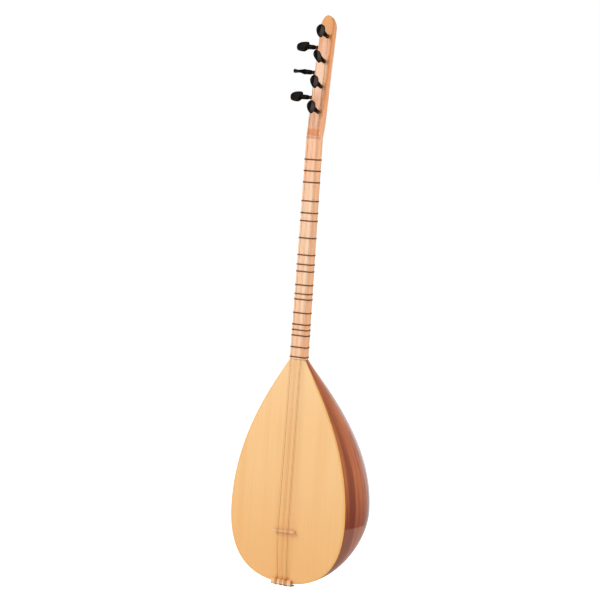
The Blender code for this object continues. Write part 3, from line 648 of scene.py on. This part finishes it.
LINE_LOOK = (
    (0.240, 0.084, 0.030), (0.120, 0.040, 0.014), (0.26, 0.09, 0.03), 900, 90, 0.6, 0.8, 0.3,
)
PEG_LOOK = (
    (0.008, 0.005, 0.004), (0.003, 0.002, 0.002), (0.015, 0.008, 0.006), 240, 60, 0.6, 0.8, 0.4,
)

# Tints: share, colour, then limits, each an axis, where the tint starts and where it is full

BOARD_TINTS = (
    (0.60, (0.85, 0.43, 0.135), ("Z", -0.52, -0.76)),
    (0.35, (1.00, 0.70, 0.38), ("Z", -0.52, -0.40)),
)
NECK_TINTS_AND_PAINTED_SHADE = (
    (0.40, (0.99, 0.54, 0.28), ("Z", -0.23, -0.33)),
    (0.70, (0.80, 0.37, 0.165), ("X", 0.0080, 0.0105)),
    (0.75, (0.97, 0.52, 0.29), ("Z", -0.13, -0.03)),
    # Painted shade: the rounded back of the neck darkened where it turns away from the light.
    (0.50, (0.55, 0.25, 0.10), ("Y", 0.008, 0.017)),
)
HEAD_MIDDLE_TINTS = (
    (0.60, (0.95, 0.62, 0.40), ("Z", 0.060, 0.085), ("Z", 0.145, 0.120)),
    (0.90, (0.70, 0.27, 0.035), ("Z", 0.150, 0.192)),
)
HEAD_RIGHT = (("X", 0.0085, 0.0110), ("behind", 0.0165, 0.0125))
HEAD_LOW_TINTS = (
    (0.85, (0.92, 0.44, 0.24), *HEAD_RIGHT, ("Z", 0.070, 0.030)),
    (0.90, (0.72, 0.215, 0.030), ("Z", 0.0030, 0.0045), ("Z", 0.0170, 0.0130), ("X", 0.0110, 0.0085)),
)
# Brown for the tailpiece's right end, also laid under the bar as painted shade.
TAIL_BROWN_AND_PAINTED_SHADE = (0.20, 0.10, 0.045)
TAIL_TINTS_AND_PAINTED_SHADE = (
    (0.85, (0.92, 0.50, 0.20), ("Z", TAIL_Z + 0.0004, TAIL_Z + 0.0034)),
    # Painted shade: brown under the tailpiece.
    (0.85, TAIL_BROWN_AND_PAINTED_SHADE, ("Z", TAIL_Z - 0.0008, TAIL_Z - 0.0026)),
    (0.70, TAIL_BROWN_AND_PAINTED_SHADE, ("X", 0.0182, 0.0194)),
)
STAVE_TINTS = ((0.62, (0.170, 0.014, 0.001), ("Z", -0.56, -0.67)),)
STRING_TINTS = ((0.70, (0.070, 0.026, 0.008), ("Z", 0.010, 0.030)),)
HEARTWOOD = (0.185, 0.041, 0.022)
HEART_HEIGHT = ("Z", -0.41, -0.63)
# Across a stave: where the heartwood starts, where it is full, its share
HEART_LINES = (
    (-0.0078, -0.0030, 0.72), (0.05, 0.06, 0.0), (0.006, 0.009, 0.6), (-0.008, -0.012, 0.5),
)


# Finishes


def wood(name, look, scale, roughness, relief, specular=0.4, coat=0.0, coat_roughness=0.1):
    """A plain wood, bone or line whose grain runs along the axis with the smallest scale."""
    made, tree, shader = new_material(name, roughness, specular, coat, coat_roughness)
    colour, height = add_grain(tree, scaled(tree, own_coordinates(tree), scale), look)
    lay_on(tree, shader, colour, height, relief)
    return made


def tinted_wood(name, look, scale, tints, roughness, coat):
    """A wood under satin lacquer with its tints, its colour left open for more of them."""
    made, tree, shader = new_material(name, roughness, 0.35, coat, coat_roughness=0.12)
    own = own_coordinates(tree)
    colour, height = add_grain(tree, scaled(tree, own, scale), look)
    return made, tree, shader, tint_zones(tree, colour, parts_of(tree, own), tints), height


def stave_wood(n):
    """Red-brown lacquered wood, with heartwood past one line and deeper towards the tail."""
    name = f"stave_wood_{n + 1}"
    made, tree, shader = new_material(name, 0.5, specular=0.1, coat=1.0, coat_roughness=0.03)
    across = own_map(tree)
    grain = scaled(tree, across, (1, 0.05, 1), (n * 3.7, n * 1.3, 0))
    colour, height = add_grain(tree, grain, STAVE_LOOKS[n % len(STAVE_LOOKS)])
    start, end, share = HEART_LINES[n % len(HEART_LINES)]
    parts = parts_of(tree, own_coordinates(tree))
    parts["across"] = parts_of(tree, across)["X"]
    heart = zone(tree, parts, [("across", start, end), HEART_HEIGHT])
    colour = tint(tree, colour, heart, share, HEARTWOOD)
    colour = tint_zones(tree, colour, parts, STAVE_TINTS)
    lay_on(tree, shader, colour, height, 0.03)
    return made


def soundboard_finish():
    """Spruce under amber lacquer, paler at the neck and deeper at the tail, with a deeper, yellower band
    round its edge painted as edge light and shade.
    """
    made, tree, shader, colour, height = tinted_wood(
        "soundboard_spruce", SPRUCE_LOOK, (1, 1, 0.012), BOARD_TINTS, roughness=0.38, coat=0.2
    )
    rim = attribute(tree, "rim")
    own = parts_of(tree, own_coordinates(tree))
    below_neck = mask_between(tree, own["Z"], JOINT_Z - 0.01, JOINT_Z - 0.05)
    painted_edge_shading = multiply(tree, multiply(tree, rim, rim), below_neck)
    # Painted edge light and shade: a yellower amber laid over the band round the board's edge.
    colour = tint(tree, colour, painted_edge_shading, 0.8, (0.83, 0.44, 0.10))
    lay_on(tree, shader, colour, height, 0.04)
    return made


def neck_finish():
    """Pale beech, a little deeper at its sides and where it nears the nut, its rounded back darkened by
    painted shade.
    """
    made, tree, shader, colour, height = tinted_wood(
        "neck_beech", BEECH_LOOK, (1, 1, 0.03), NECK_TINTS_AND_PAINTED_SHADE, roughness=0.38, coat=0.2
    )
    lay_on(tree, shader, colour, height, 0.05)
    return made


def peghead_finish():
    """Beech with an orange band down its right side, an orange tip and a stain above the nut."""
    made, tree, shader = new_material("peghead_beech", 0.38, specular=0.35, coat=0.25, coat_roughness=0.12)
    own = own_coordinates(tree)
    grain = scaled(tree, own, (1, 1, 0.03), (0.2, 0, 0))
    colour, height = add_grain(tree, grain, HEAD_LOOK)
    parts = parts_of(tree, own)
    square_to_face = (0, math.cos(PEGHEAD_TILT), -math.sin(PEGHEAD_TILT))
    depth = add_node(tree, "VectorMath", {0: own, 1: square_to_face}, operation="DOT_PRODUCT")
    parts["behind"] = depth["Value"]
    colour = tint_zones(tree, colour, parts, HEAD_MIDDLE_TINTS)
    further_back = mask_between(tree, parts["behind"], 0.004, 0.010)
    orange = blend_colour(tree, further_back, (0.78, 0.270, 0.075), (0.86, 0.400, 0.190))
    colour = tint(tree, colour, zone(tree, parts, HEAD_RIGHT), 0.95, orange)
    colour = tint_zones(tree, colour, parts, HEAD_LOW_TINTS)
    lay_on(tree, shader, colour, height, 0.05)
    return made


def tailpiece_finish():
    """Pale wood, orange where it nears the soundboard, brown at its right end, and brown below as painted
    shade.
    """
    made, tree, shader = new_material("tailpiece_wood", 0.45, specular=0.4, coat=0.1)
    own = own_coordinates(tree)
    colour, height = add_grain(tree, scaled(tree, own, (0.1, 1, 1)), TAIL_LOOK)
    colour = tint_zones(tree, colour, parts_of(tree, own), TAIL_TINTS_AND_PAINTED_SHADE)
    lay_on(tree, shader, colour, height, 0.05)
    return made


def peg_finish():
    """Black stain over brown wood, lightened in the dishes of the heads as a painted highlight."""
    made, tree, shader = new_material("peg_black", 0.40, specular=0.05)
    colour, height = add_grain(tree, own_coordinates(tree), PEG_LOOK)
    # Painted highlight: a lighter grey-brown laid in the dishes of the heads.
    colour = blend_colour(tree, attribute(tree, "dish"), colour, (0.071, 0.058, 0.053))
    lay_on(tree, shader, colour, height, 0.04)
    return made


def string_finish(name, light, dark, turns, roughness, specular):
    """Wire with fine turns round it, as many to the metre as given, darker above the nut."""
    made, tree, shader = new_material(name, roughness, specular)
    own = own_coordinates(tree)
    winding = add_node(tree, "TexWave", {"Vector": own, "Scale": turns}, bands_direction="Z")
    colour = blend_colour(tree, winding["Fac"], light, dark)
    colour = tint_zones(tree, colour, parts_of(tree, own), STRING_TINTS)
    feed(tree, shader.inputs["Base Color"], colour)
    return made


SOUNDBOARD = soundboard_finish()
INNER_SPRUCE = wood("bare_spruce", SPRUCE_LOOK, (1, 1, 0.02), roughness=0.6, relief=0.1)
NECK_WOOD = neck_finish()
BLOCK_WOOD = wood("block_beech", BEECH_LOOK, (1, 1, 0.05), roughness=0.6, relief=0.08)
PEGHEAD_WOOD = peghead_finish()
STAVE_WOODS = [stave_wood(n) for n in range(STAVES)]
CAP_WOOD = wood(
    "end_cap_wood", STAVE_LOOKS[0], (0.06, 1, 1),
    roughness=0.5, relief=0.03, specular=0.1, coat=1.0, coat_roughness=0.03,
)
BRIDGE_WOOD = wood("bridge_maple", MAPLE_LOOK, (0.1, 1, 1), roughness=0.5, relief=0.05)
TAIL_WOOD = tailpiece_finish()
NUT_BONE = wood("nut_bone", BONE_LOOK, (0.2, 1, 1), roughness=0.4, relief=0.02, coat=0.1)
PEG_BLACK = peg_finish()
FRET_LINE = wood("fret_line", LINE_LOOK, (1, 1, 1), roughness=0.45, relief=0.1)
# Plain steel strings: their brown-orange colour is a painted reflection of the soundboard, darkened as
# painted shade on their sides.
PLAIN_STRING_PAINTED_REFLECTION = string_finish("plain_string", (0.54, 0.180, 0.034), (0.48, 0.152, 0.026), 20, 0.4, 0.1)
# Wound strings: copper-brown winding, darkened further as painted shade on their sides.
WOUND_STRING_WITH_PAINTED_SHADE = string_finish("wound_string", (0.23, 0.040, 0.004), (0.165, 0.026, 0.002), 600, 0.5, 0)


# The bowl


def make_stave(n, stations, along):
    """One stave with its grain along it, each edge eased where it meets the next."""
    columns = 9

    def share(r, c):
        seam = SEAM / bowl_section(stations[r])[1][-1]
        first = n / STAVES + (seam if n else 0)
        last = (n + 1) / STAVES - (seam if n < STAVES - 1 else 0)
        return between(first, last, c / (columns - 1))

    def place(r, c):
        return bowl_point(stations[r], share(r, c))

    def grain(r, c):
        girth = bowl_section(stations[r])[1][-1]
        return (share(r, c) - (n + 0.5) / STAVES) * girth, along[r]

    stave = shaped_sheet(f"stave_{n + 1}", len(stations), columns, place, grain)
    face = stave.data.polygons[len(stave.data.polygons) // 2]
    outward = Vector(face.center) - Vector((0, 0.02, face.center.z))
    if face.normal.dot(outward) < 0:
        stave.data.flip_normals()
    give_thickness(stave)
    round_edges(stave, width=0.0001, segments=2, degrees=50)
    even_gloss(stave)
    fit(stave, STAVE_WOODS[n], "bowl_mahogany", "instrument", f"rib_{n + 1}")


def make_staves():
    stations = np.linspace(CAP_REACH, 1, 90)
    middles = np.array([bowl_point(t, 0.5) for t in stations])
    steps = np.linalg.norm(np.diff(middles, axis=0), axis=1)
    along = np.concatenate([[0], np.cumsum(steps)])
    for n in range(STAVES):
        make_stave(n, stations, along)


def make_end_cap():
    """The cap over the tail, with the sound hole bored through it and its rim eased."""
    rows, columns = 26, 61
    span = np.linalg.norm(np.array(bowl_point(0.5, 0.5)) - np.array(bowl_point(0, 0.5)))
    stations = np.linspace(CAP_START, CAP_REACH - CAP_JOINT / span, rows)
    cap = shaped_sheet(
        "end_cap", rows, columns, lambda r, c: bowl_point(stations[r], c / (columns - 1))
    )
    face = cap.data.polygons[len(cap.data.polygons) // 2]
    if face.normal.z > 0:
        cap.data.flip_normals()
    give_thickness(cap)
    deselect()
    bpy.ops.mesh.primitive_cylinder_add(
        vertices=64, radius=SOUND_HOLE_RADIUS, depth=0.06, location=(0, SOUND_HOLE_Y, TAIL_Z)
    )
    bore(cap, bpy.context.object)
    round_edges(cap, width=0.0003, segments=2, degrees=50)
    fit(cap, CAP_WOOD, "bowl_mahogany", "instrument", "bowl_end_cap")


def make_soundboard():
    """A plate in the outline of the rim, its edge rounded over and marked by an attribute that places the
    painted edge light and shade.
    """
    half = [rim_line(t) for t in np.linspace(0, 1, 120)]
    half = [(x, min(z, JOINT_Z - GAP)) for x, z in half]
    outline = half + [(-x, z) for x, z in reversed(half[1:])]
    rings = [[(x, y, z) for x, z in outline] for y in (BOARD_THICKNESS, 0)]
    inner = []
    for x, z in outline:
        inward = Vector((-x, 0, min(max(z, TAIL_Z + 0.09), JOINT_Z - 0.03) - z)).normalized()
        inner.append(Vector((x, 0, z)) + BORDER * inward)
    board = turned_solid("soundboard_plate", rings + [inner])
    round_edges(board, width=0.0006, segments=3, degrees=60)
    # Where the painted edge light and shade goes: 1 at the outline, 0 at the inset line.
    rim = board.data.attributes.new("rim", "FLOAT", "POINT")
    for corner in board.data.vertices:
        nearest = min((corner.co - point).length for point in inner)
        rim.data[corner.index].value = float(nearest > 1e-5)
    fit(board, SOUNDBOARD, "top_spruce", "instrument", "soundboard")


# The neck and head


def make_neck():
    """The stick, flat in front and round behind, with the nut's seat cut into its upper end."""
    rings = []
    for z in np.linspace(JOINT_Z + GAP, -GAP, 24):
        half_width, depth, face = neck_size(z)
        rings.append([(x, face + y, z) for x, y in half_round(half_width, depth, BOWL_FULLNESS)])
    half_width, depth, face = neck_size(0)
    section = half_round(half_width, depth, BOWL_FULLNESS)
    for z in (-0.0002, NUT_LENGTH):
        rings.append([(x, face + max(y, NUT_SEAT), z) for x, y in section])
    neck = turned_solid("neck_stick", rings)
    round_edges(neck, width=0.00015, segments=1, degrees=50)
    fit(neck, NECK_WOOD, "neck_beech", "instrument", "neck")


def make_peghead():
    """The leaning head: the neck's section grown a little squarer, and a tip rounded both ways."""
    foot = NUT_LENGTH + GAP
    start = foot / math.cos(PEGHEAD_TILT)
    tip_start = PEGHEAD_LENGTH - PEGHEAD_ROUND
    shoulder = np.linspace(0.006, PEGHEAD_SHOULDER, 9)
    rings = []
    for along in [start, *shoulder, *np.linspace(0.04, tip_start, 12)]:
        rings.append([head_point(x, along, y) for x, y in half_round(*head_size(along))])
    for point in rings[0]:
        point.z = foot
    for angle in TIP_ANGLES:
        sine, cosine = math.sin(math.radians(angle)), math.cos(math.radians(angle))
        along = PEGHEAD_LENGTH - PEGHEAD_ROUND * (1 - sine)
        rings.append([
            head_point(x * cosine, along, y * between(PEGHEAD_TIP_SHARE, 1, cosine))
            for x, y in half_round(*head_size(tip_start))
        ])
    head = turned_solid("peghead_block", rings)
    for base, out in PEGS.values():
        deselect()
        bpy.ops.mesh.primitive_cone_add(
            vertices=40, radius1=PEG_HOLE_RADIUS, radius2=PEG_HOLE_END_RADIUS, depth=PEG_HOLE_DRILL
        )
        drill = bpy.context.object
        drill.location = base - out * PEG_HOLE_MIDDLE
        drill.rotation_euler = (-out).to_track_quat("Z", "Y").to_euler()
        bpy.context.view_layer.update()
        bore(head, drill)
    smooth(head, degrees=30)
    fit(head, PEGHEAD_WOOD, "neck_beech", "instrument", "peghead")


def peg_sections(stand):
    """Distance from the wood, half breadth, half thickness, fullness and dish down a peg."""
    shank = stand - HEAD_LENGTH
    sections = [(shank * share + more, r, r, 2.0, 0.0) for share, more, r in SHANK_TURNING]
    for share, wide, thick, fullness, dish in HEAD_SHAPE:
        at = shank + HEAD_LENGTH * share
        breadth, thickness = HEAD_HALF_BREADTH * wide, HEAD_HALF_THICKNESS * thick
        sections.append((at, breadth, thickness, fullness, HEAD_DISH * dish))
    return sections


def peg_pattern(stand, painted_sheen_share):
    """One peg along Z from the wood at zero, its dish marked for a painted highlight."""
    rings, marks = [], []
    for at, breadth, thickness, fullness, dish in peg_sections(stand):
        ring = []
        for i in range(PEG_SIDES):
            angle = 2 * math.pi * i / PEG_SIDES
            cosine, sine = math.cos(angle), math.sin(angle)
            x = math.copysign(abs(cosine) ** (2 / fullness), cosine) * breadth
            y = math.copysign(abs(sine) ** (2 / fullness), sine) * thickness
            ring.append(Vector((x, y * (1 - dish * sine**4), at)))
            marks.append((ring[-1], dish * sine**2))
        rings.append(ring)
    made = turned_solid("peg_pattern", rings)
    smooth(made, degrees=40)
    # How much painted highlight each point of the dish takes.
    dished = made.data.attributes.new("dish", "FLOAT", "POINT")
    for corner in made.data.vertices:
        _, mark = min(marks, key=lambda pair: (pair[0] - corner.co).length)
        dished.data[corner.index].value = mark * painted_sheen_share
    return made


def make_pegs():
    """Turned black pegs: tapered shaft, shank, beaded collar and a flat dished head."""
    patterns = {
        "front": peg_pattern(FRONT_PEG_STAND, FRONT_DISH_PAINTED_SHEEN),
        "side": peg_pattern(SIDE_PEG_STAND, SIDE_DISH_PAINTED_SHEEN),
    }
    for name, (base, out) in PEGS.items():
        upward = (Vector((0, 0, 1)) - out * out.z).normalized()
        across = out.cross(upward)
        turn = math.radians(HEAD_TURNS[name])
        broad = upward * math.cos(turn) + across * math.sin(turn)
        pattern = patterns[name.split("_")[0]]
        made = pattern.copy()
        made.data = pattern.data.copy()
        made.name = name + "_turned"
        bpy.context.collection.objects.link(made)
        stood = Matrix((broad, out.cross(broad), out)).transposed().to_4x4()
        made.data.transform(Matrix.Translation(base) @ stood)
        fit(made, PEG_BLACK, "peg_black", name, name)
    for pattern in patterns.values():
        bpy.data.objects.remove(pattern)


# Frets and strings


def fret_knot(x, y, z):
    """Points of a small knot, a figure of eight that stands on the neck."""
    wide, deep, high = KNOT_SIZE
    points = []
    for i in range(KNOT_POINTS):
        turn = 2 * math.pi * i / KNOT_LOOP
        points.append((
            x * KNOT_OUT + wide * math.cos(turn),
            y + KNOT_STAND + deep * math.sin(2 * turn),
            z + high * math.sin(turn),
        ))
    return points


def make_frets():
    """Three turns of brown line round the neck, with a knot on the bass side of the back."""
    for number, step in enumerate(FRET_STEPS, 1):
        middle = -SCALE_LENGTH * (1 - 2 ** (-step / 12))
        half_width, depth, face = neck_size(middle)
        ring = half_round(half_width, depth, BOWL_FULLNESS, FRET_RADIUS + FRET_FIT, FRET_ARC)
        ring = ring[KNOT_CORNER:] + ring[:KNOT_CORNER]
        count = len(ring)
        points = []
        for i in range(FRET_TURNS * count + 1):
            x, y = ring[i % count]
            points.append((x, face + y, middle + FRET_PITCH * (i / count - FRET_TURNS / 2)))
        wound = wire(f"fret_line_{number}", points, FRET_RADIUS)
        x, y = ring[0]
        tied = wire(f"fret_knot_{number}", fret_knot(x, face + y, middle), FRET_RADIUS)
        joined = join(f"tied_fret_{number}", [wound, tied])
        fit(joined, FRET_LINE, "fret_line", f"fret_{number}", f"fret_{number}")


def string_at_nut(index):
    return Vector((STRINGS[index][0], NECK_SETBACK - STRING_HEIGHT_AT_NUT, 0))


def string_at_bridge(index):
    x = STRINGS[index][1]
    lean = (x - BRIDGE_X) * math.tan(BRIDGE_TURN)
    return Vector((x, -STRING_HEIGHT_AT_BRIDGE, BRIDGE_Z + lean))


def string_tail(index):
    """Where a string leaves its hole in the tailpiece at the top and at the bottom."""
    x, y = STRINGS[index][1] * TAIL_SPREAD, -TAILPIECE_STAND * TAIL_HOLE_SHARE
    return Vector((x, y, TAIL_Z + TAILPIECE_HEIGHT)), Vector((x, y, TAIL_Z - TAILPIECE_FOOT))


def winding(name, radius, arrive):
    """Points of a string from where it meets its peg to the end of its last turn."""
    base, out = PEGS[name]
    start = base + out * (FRONT_WINDING_START if name.startswith("front") else SIDE_WINDING_START)
    reach = SHANK_RADIUS + WINDING_FIT + radius
    toward = arrive - start
    toward -= out * toward.dot(out)
    first = toward.normalized()
    second = out.cross(first) * (-1 if name == LEFT_OF_ITS_PEG else 1)
    begin = math.acos(reach / toward.length)
    points = []
    for i in range(WINDING_TURNS * WINDING_STEPS + 1):
        angle = begin + 2 * math.pi * i / WINDING_STEPS
        radial = first * math.cos(angle) + second * math.sin(angle)
        points.append(start + out * (WINDING_PITCH * i / WINDING_STEPS) + radial * reach)
    angle += math.pi / 6
    radial = first * math.cos(angle) + second * math.sin(angle)
    lift = out * WINDING_PITCH * (WINDING_TURNS + 0.35)
    points.append(start + lift + radial * (reach + 2 * radius))
    points.append(start + lift + radial * (reach + 5 * radius))
    return points


def side_lead(name, radius):
    """Two points that lead a string over the edge of the head to a peg in its side."""
    up_the_face = head_point(0, 1, 0) - head_point(0, 0, 0)
    along = (PEGS[name][0] - head_point(0, 0, 0)).dot(up_the_face) - SIDE_STRING_LEADS[name]
    edge = head_size(along)[0]
    return [
        head_point(-edge + 0.0006, along, -0.0004 - radius),
        head_point(-edge - 0.0004 - radius, along + 0.002, 0.0008),
    ]


def tail_loop(top, bottom):
    """Points of the loop that a string makes round the front of the tailpiece."""
    front_y = -TAILPIECE_STAND - LOOP_RADIUS
    return [
        bottom + Vector((0, 0, -0.0004)),
        bottom + Vector((0, -0.0014, -0.0006)),
        Vector((top.x, front_y + 0.0006, bottom.z - 0.0004)),
        Vector((top.x, front_y, bottom.z + 0.0010)),
        Vector((top.x, front_y, top.z - 0.0012)),
        Vector((top.x, front_y + 0.0008, top.z + 0.0003)),
        top + Vector((0, -0.0012, 0.0010)),
        top + Vector((0, 0.0001, 0.0016)),
        top + Vector((0, 0.0001, 0.0045)),
    ]


def make_strings():
    """Each string from its loop under the tailpiece over bridge and nut to its peg."""
    for index, (_, _, radius) in enumerate(STRINGS):
        name = STRING_PEGS[index]
        top, bottom = string_tail(index)
        route = [
            bottom - Vector((0, 0, 0.0002)),
            top - Vector((0, 0, 0.001)),
            top + Vector((0, 0, 0.0006)),
            string_at_bridge(index),
            string_at_nut(index) - Vector((0, 0, 0.001)),
            string_at_nut(index) + Vector((0, 0, NUT_LENGTH * 0.6)),
        ]
        if name in SIDE_STRING_LEADS:
            route += side_lead(name, radius)
        strung = wire(f"string_line_{index + 1}", route + winding(name, radius, route[-1]), radius)
        looped = wire(f"string_loop_{index + 1}", tail_loop(top, bottom), LOOP_RADIUS)
        strung = join(f"strung_{index + 1}", [strung, looped])
        if radius == WOUND_RADIUS:
            fit(strung, WOUND_STRING_WITH_PAINTED_SHADE, "wound_string", "instrument", f"string_{index + 1}")
        else:
            fit(strung, PLAIN_STRING_PAINTED_REFLECTION, "plain_string", "instrument", f"string_{index + 1}")


def dress_small_pieces():
    """Nut, bridge and tailpiece with their sharp edges eased, and the wood inside the bowl."""
    for node, name, finish, slot, body, width in (
        ("nut", "nut_bar", NUT_BONE, "bone", "instrument", 0.0002),
        ("bridge", "bridge_board", BRIDGE_WOOD, "bridge_maple", "bridge", 0.0003),
        ("tailpiece", "tailpiece_bar", TAIL_WOOD, "bone", "instrument", 0.0004),
    ):
        piece = merged_copy(node, name)
        round_edges(piece, width=width, segments=2, degrees=40)
        fit(piece, finish, slot, body, node)
    for node, finish in (
        ("tail_block", BLOCK_WOOD),
        ("neck_block", BLOCK_WOOD),
        ("soundboard_brace_1", INNER_SPRUCE),
        ("soundboard_brace_2", INNER_SPRUCE),
    ):
        NODES[node].data.materials.clear()
        NODES[node].data.materials.append(finish)


# The studio

FLOOR_Z = -0.84
FLOOR_SIZE = 80
FLOOR_COLOUR = (0.86, 0.86, 0.86)
FLOOR_GLOW = 0.62
SHEET_COLOUR = (0.73, 0.62, 0.54)
SHEET_REACH = 1.175
SHEET_FADE = 0.04
WALL_LIMITS = (("X", 0.22, -0.38), ("Y", 0.2, 0.6))
ROOM_DIM = 0.06
WALL_BRIGHT = 1.1
WORLD_LIGHT = 0.52
LENS_LENGTH = 123.83
CAMERA_PLACE = (1.76297, -2.98834, 0.01474)
CAMERA_RIGHT = (0.85630461, 0.5121796, 0.06644145)
CAMERA_UP = (-0.09940155, 0.03719754, 0.99435189)
CAMERA_BACK = (0.5068153, -0.85807249, 0.08276387)


def room_glow(tree, direction):
    """How bright the room looks in gloss: dim, with a pale wall behind the instrument."""
    wall = zone(tree, parts_of(tree, direction), WALL_LIMITS)
    limits = {"Value": wall, "To Min": ROOM_DIM, "To Max": WALL_BRIGHT}
    return add_node(tree, "MapRange", limits)["Result"]


def make_floor():
    """A white floor under the hanging instrument; in gloss it is a sheet near the bowl, then room."""
    deselect()
    bpy.ops.mesh.primitive_plane_add(size=FLOOR_SIZE, location=(0, 0, FLOOR_Z))
    floor = bpy.context.object
    floor.name = "floor"
    bpy.ops.object.transform_apply(location=True, rotation=True, scale=True)
    made, tree, shader = new_material("floor_white", 0.9, specular=0.1)
    shader.inputs["Emission Color"].default_value = (1, 1, 1, 1)
    path = tree.nodes.new("ShaderNodeLightPath").outputs
    own = own_coordinates(tree)
    distance = add_node(tree, "VectorMath", {0: own}, operation="LENGTH")["Value"]
    direction = add_node(tree, "VectorMath", {0: own}, operation="NORMALIZE")["Vector"]
    near = mask_between(tree, distance, SHEET_REACH + SHEET_FADE, SHEET_REACH)
    near_gloss = multiply(tree, path["Is Glossy Ray"], near)
    far_gloss = worked_out(tree, "SUBTRACT", path["Is Glossy Ray"], near_gloss)
    sheet = blend_colour(tree, near_gloss, FLOOR_COLOUR, SHEET_COLOUR)
    feed(tree, shader.inputs["Base Color"], blend_colour(tree, far_gloss, sheet, (0, 0, 0)))
    seen = multiply(tree, path["Is Camera Ray"], FLOOR_GLOW)
    room = multiply(tree, far_gloss, room_glow(tree, direction))
    feed(tree, shader.inputs["Emission Strength"], worked_out(tree, "ADD", seen, room))
    floor.data.materials.append(made)


def make_world():
    """White to the camera, a softer white as light, and dim in gloss like the room round a studio."""
    world = bpy.data.worlds.new("studio")
    world.use_nodes = True
    SCENE.world = world
    tree = world.node_tree
    background = tree.nodes["Background"]
    background.inputs["Color"].default_value = (1, 1, 1, 1)
    path = tree.nodes.new("ShaderNodeLightPath").outputs
    room = room_glow(tree, add_node(tree, "TexCoord", {})["Generated"])
    gloss = {"Value": path["Is Glossy Ray"], "To Min": WORLD_LIGHT, "To Max": room}
    light = add_node(tree, "MapRange", gloss)["Result"]
    seen = {"Value": path["Is Camera Ray"], "To Min": light, "To Max": 1.0}
    feed(tree, background.inputs["Strength"], add_node(tree, "MapRange", seen)["Result"])


def add_soft_light(name, place, aim, size, watts, mirrored):
    lamp = bpy.data.lights.new(name, "AREA")
    lamp.size = size
    lamp.energy = watts
    light = bpy.data.objects.new(name, lamp)
    SCENE.collection.objects.link(light)
    light.location = place
    light.rotation_euler = (Vector(aim) - Vector(place)).to_track_quat("-Z", "Y").to_euler()
    light.visible_glossy = mirrored


def add_camera():
    """The photograph's camera: a long lens a little above the middle, from the right."""
    lens = bpy.data.cameras.new("camera")
    lens.sensor_width = 36
    lens.sensor_fit = "HORIZONTAL"
    lens.lens = LENS_LENGTH
    lens.clip_end = 200
    camera = bpy.data.objects.new("camera", lens)
    SCENE.collection.objects.link(camera)
    axes = Matrix((CAMERA_RIGHT, CAMERA_UP, CAMERA_BACK)).transposed()
    camera.matrix_world = Matrix.Translation(CAMERA_PLACE) @ axes.to_4x4()
    SCENE.camera = camera


make_staves()
make_end_cap()
make_soundboard()
make_neck()
make_peghead()
make_pegs()
make_frets()
make_strings()
dress_small_pieces()
make_floor()
make_world()
add_soft_light("key", place=(-1.6, -2.2, 1.0), aim=(0, 0, -0.4), size=2.2, watts=58, mirrored=True)
add_soft_light("fill", place=(2.6, 0.2, 0.0), aim=(0, 0.1, -0.4), size=1.4, watts=32, mirrored=False)
add_camera()
SCENE.view_settings.view_transform = "Standard"
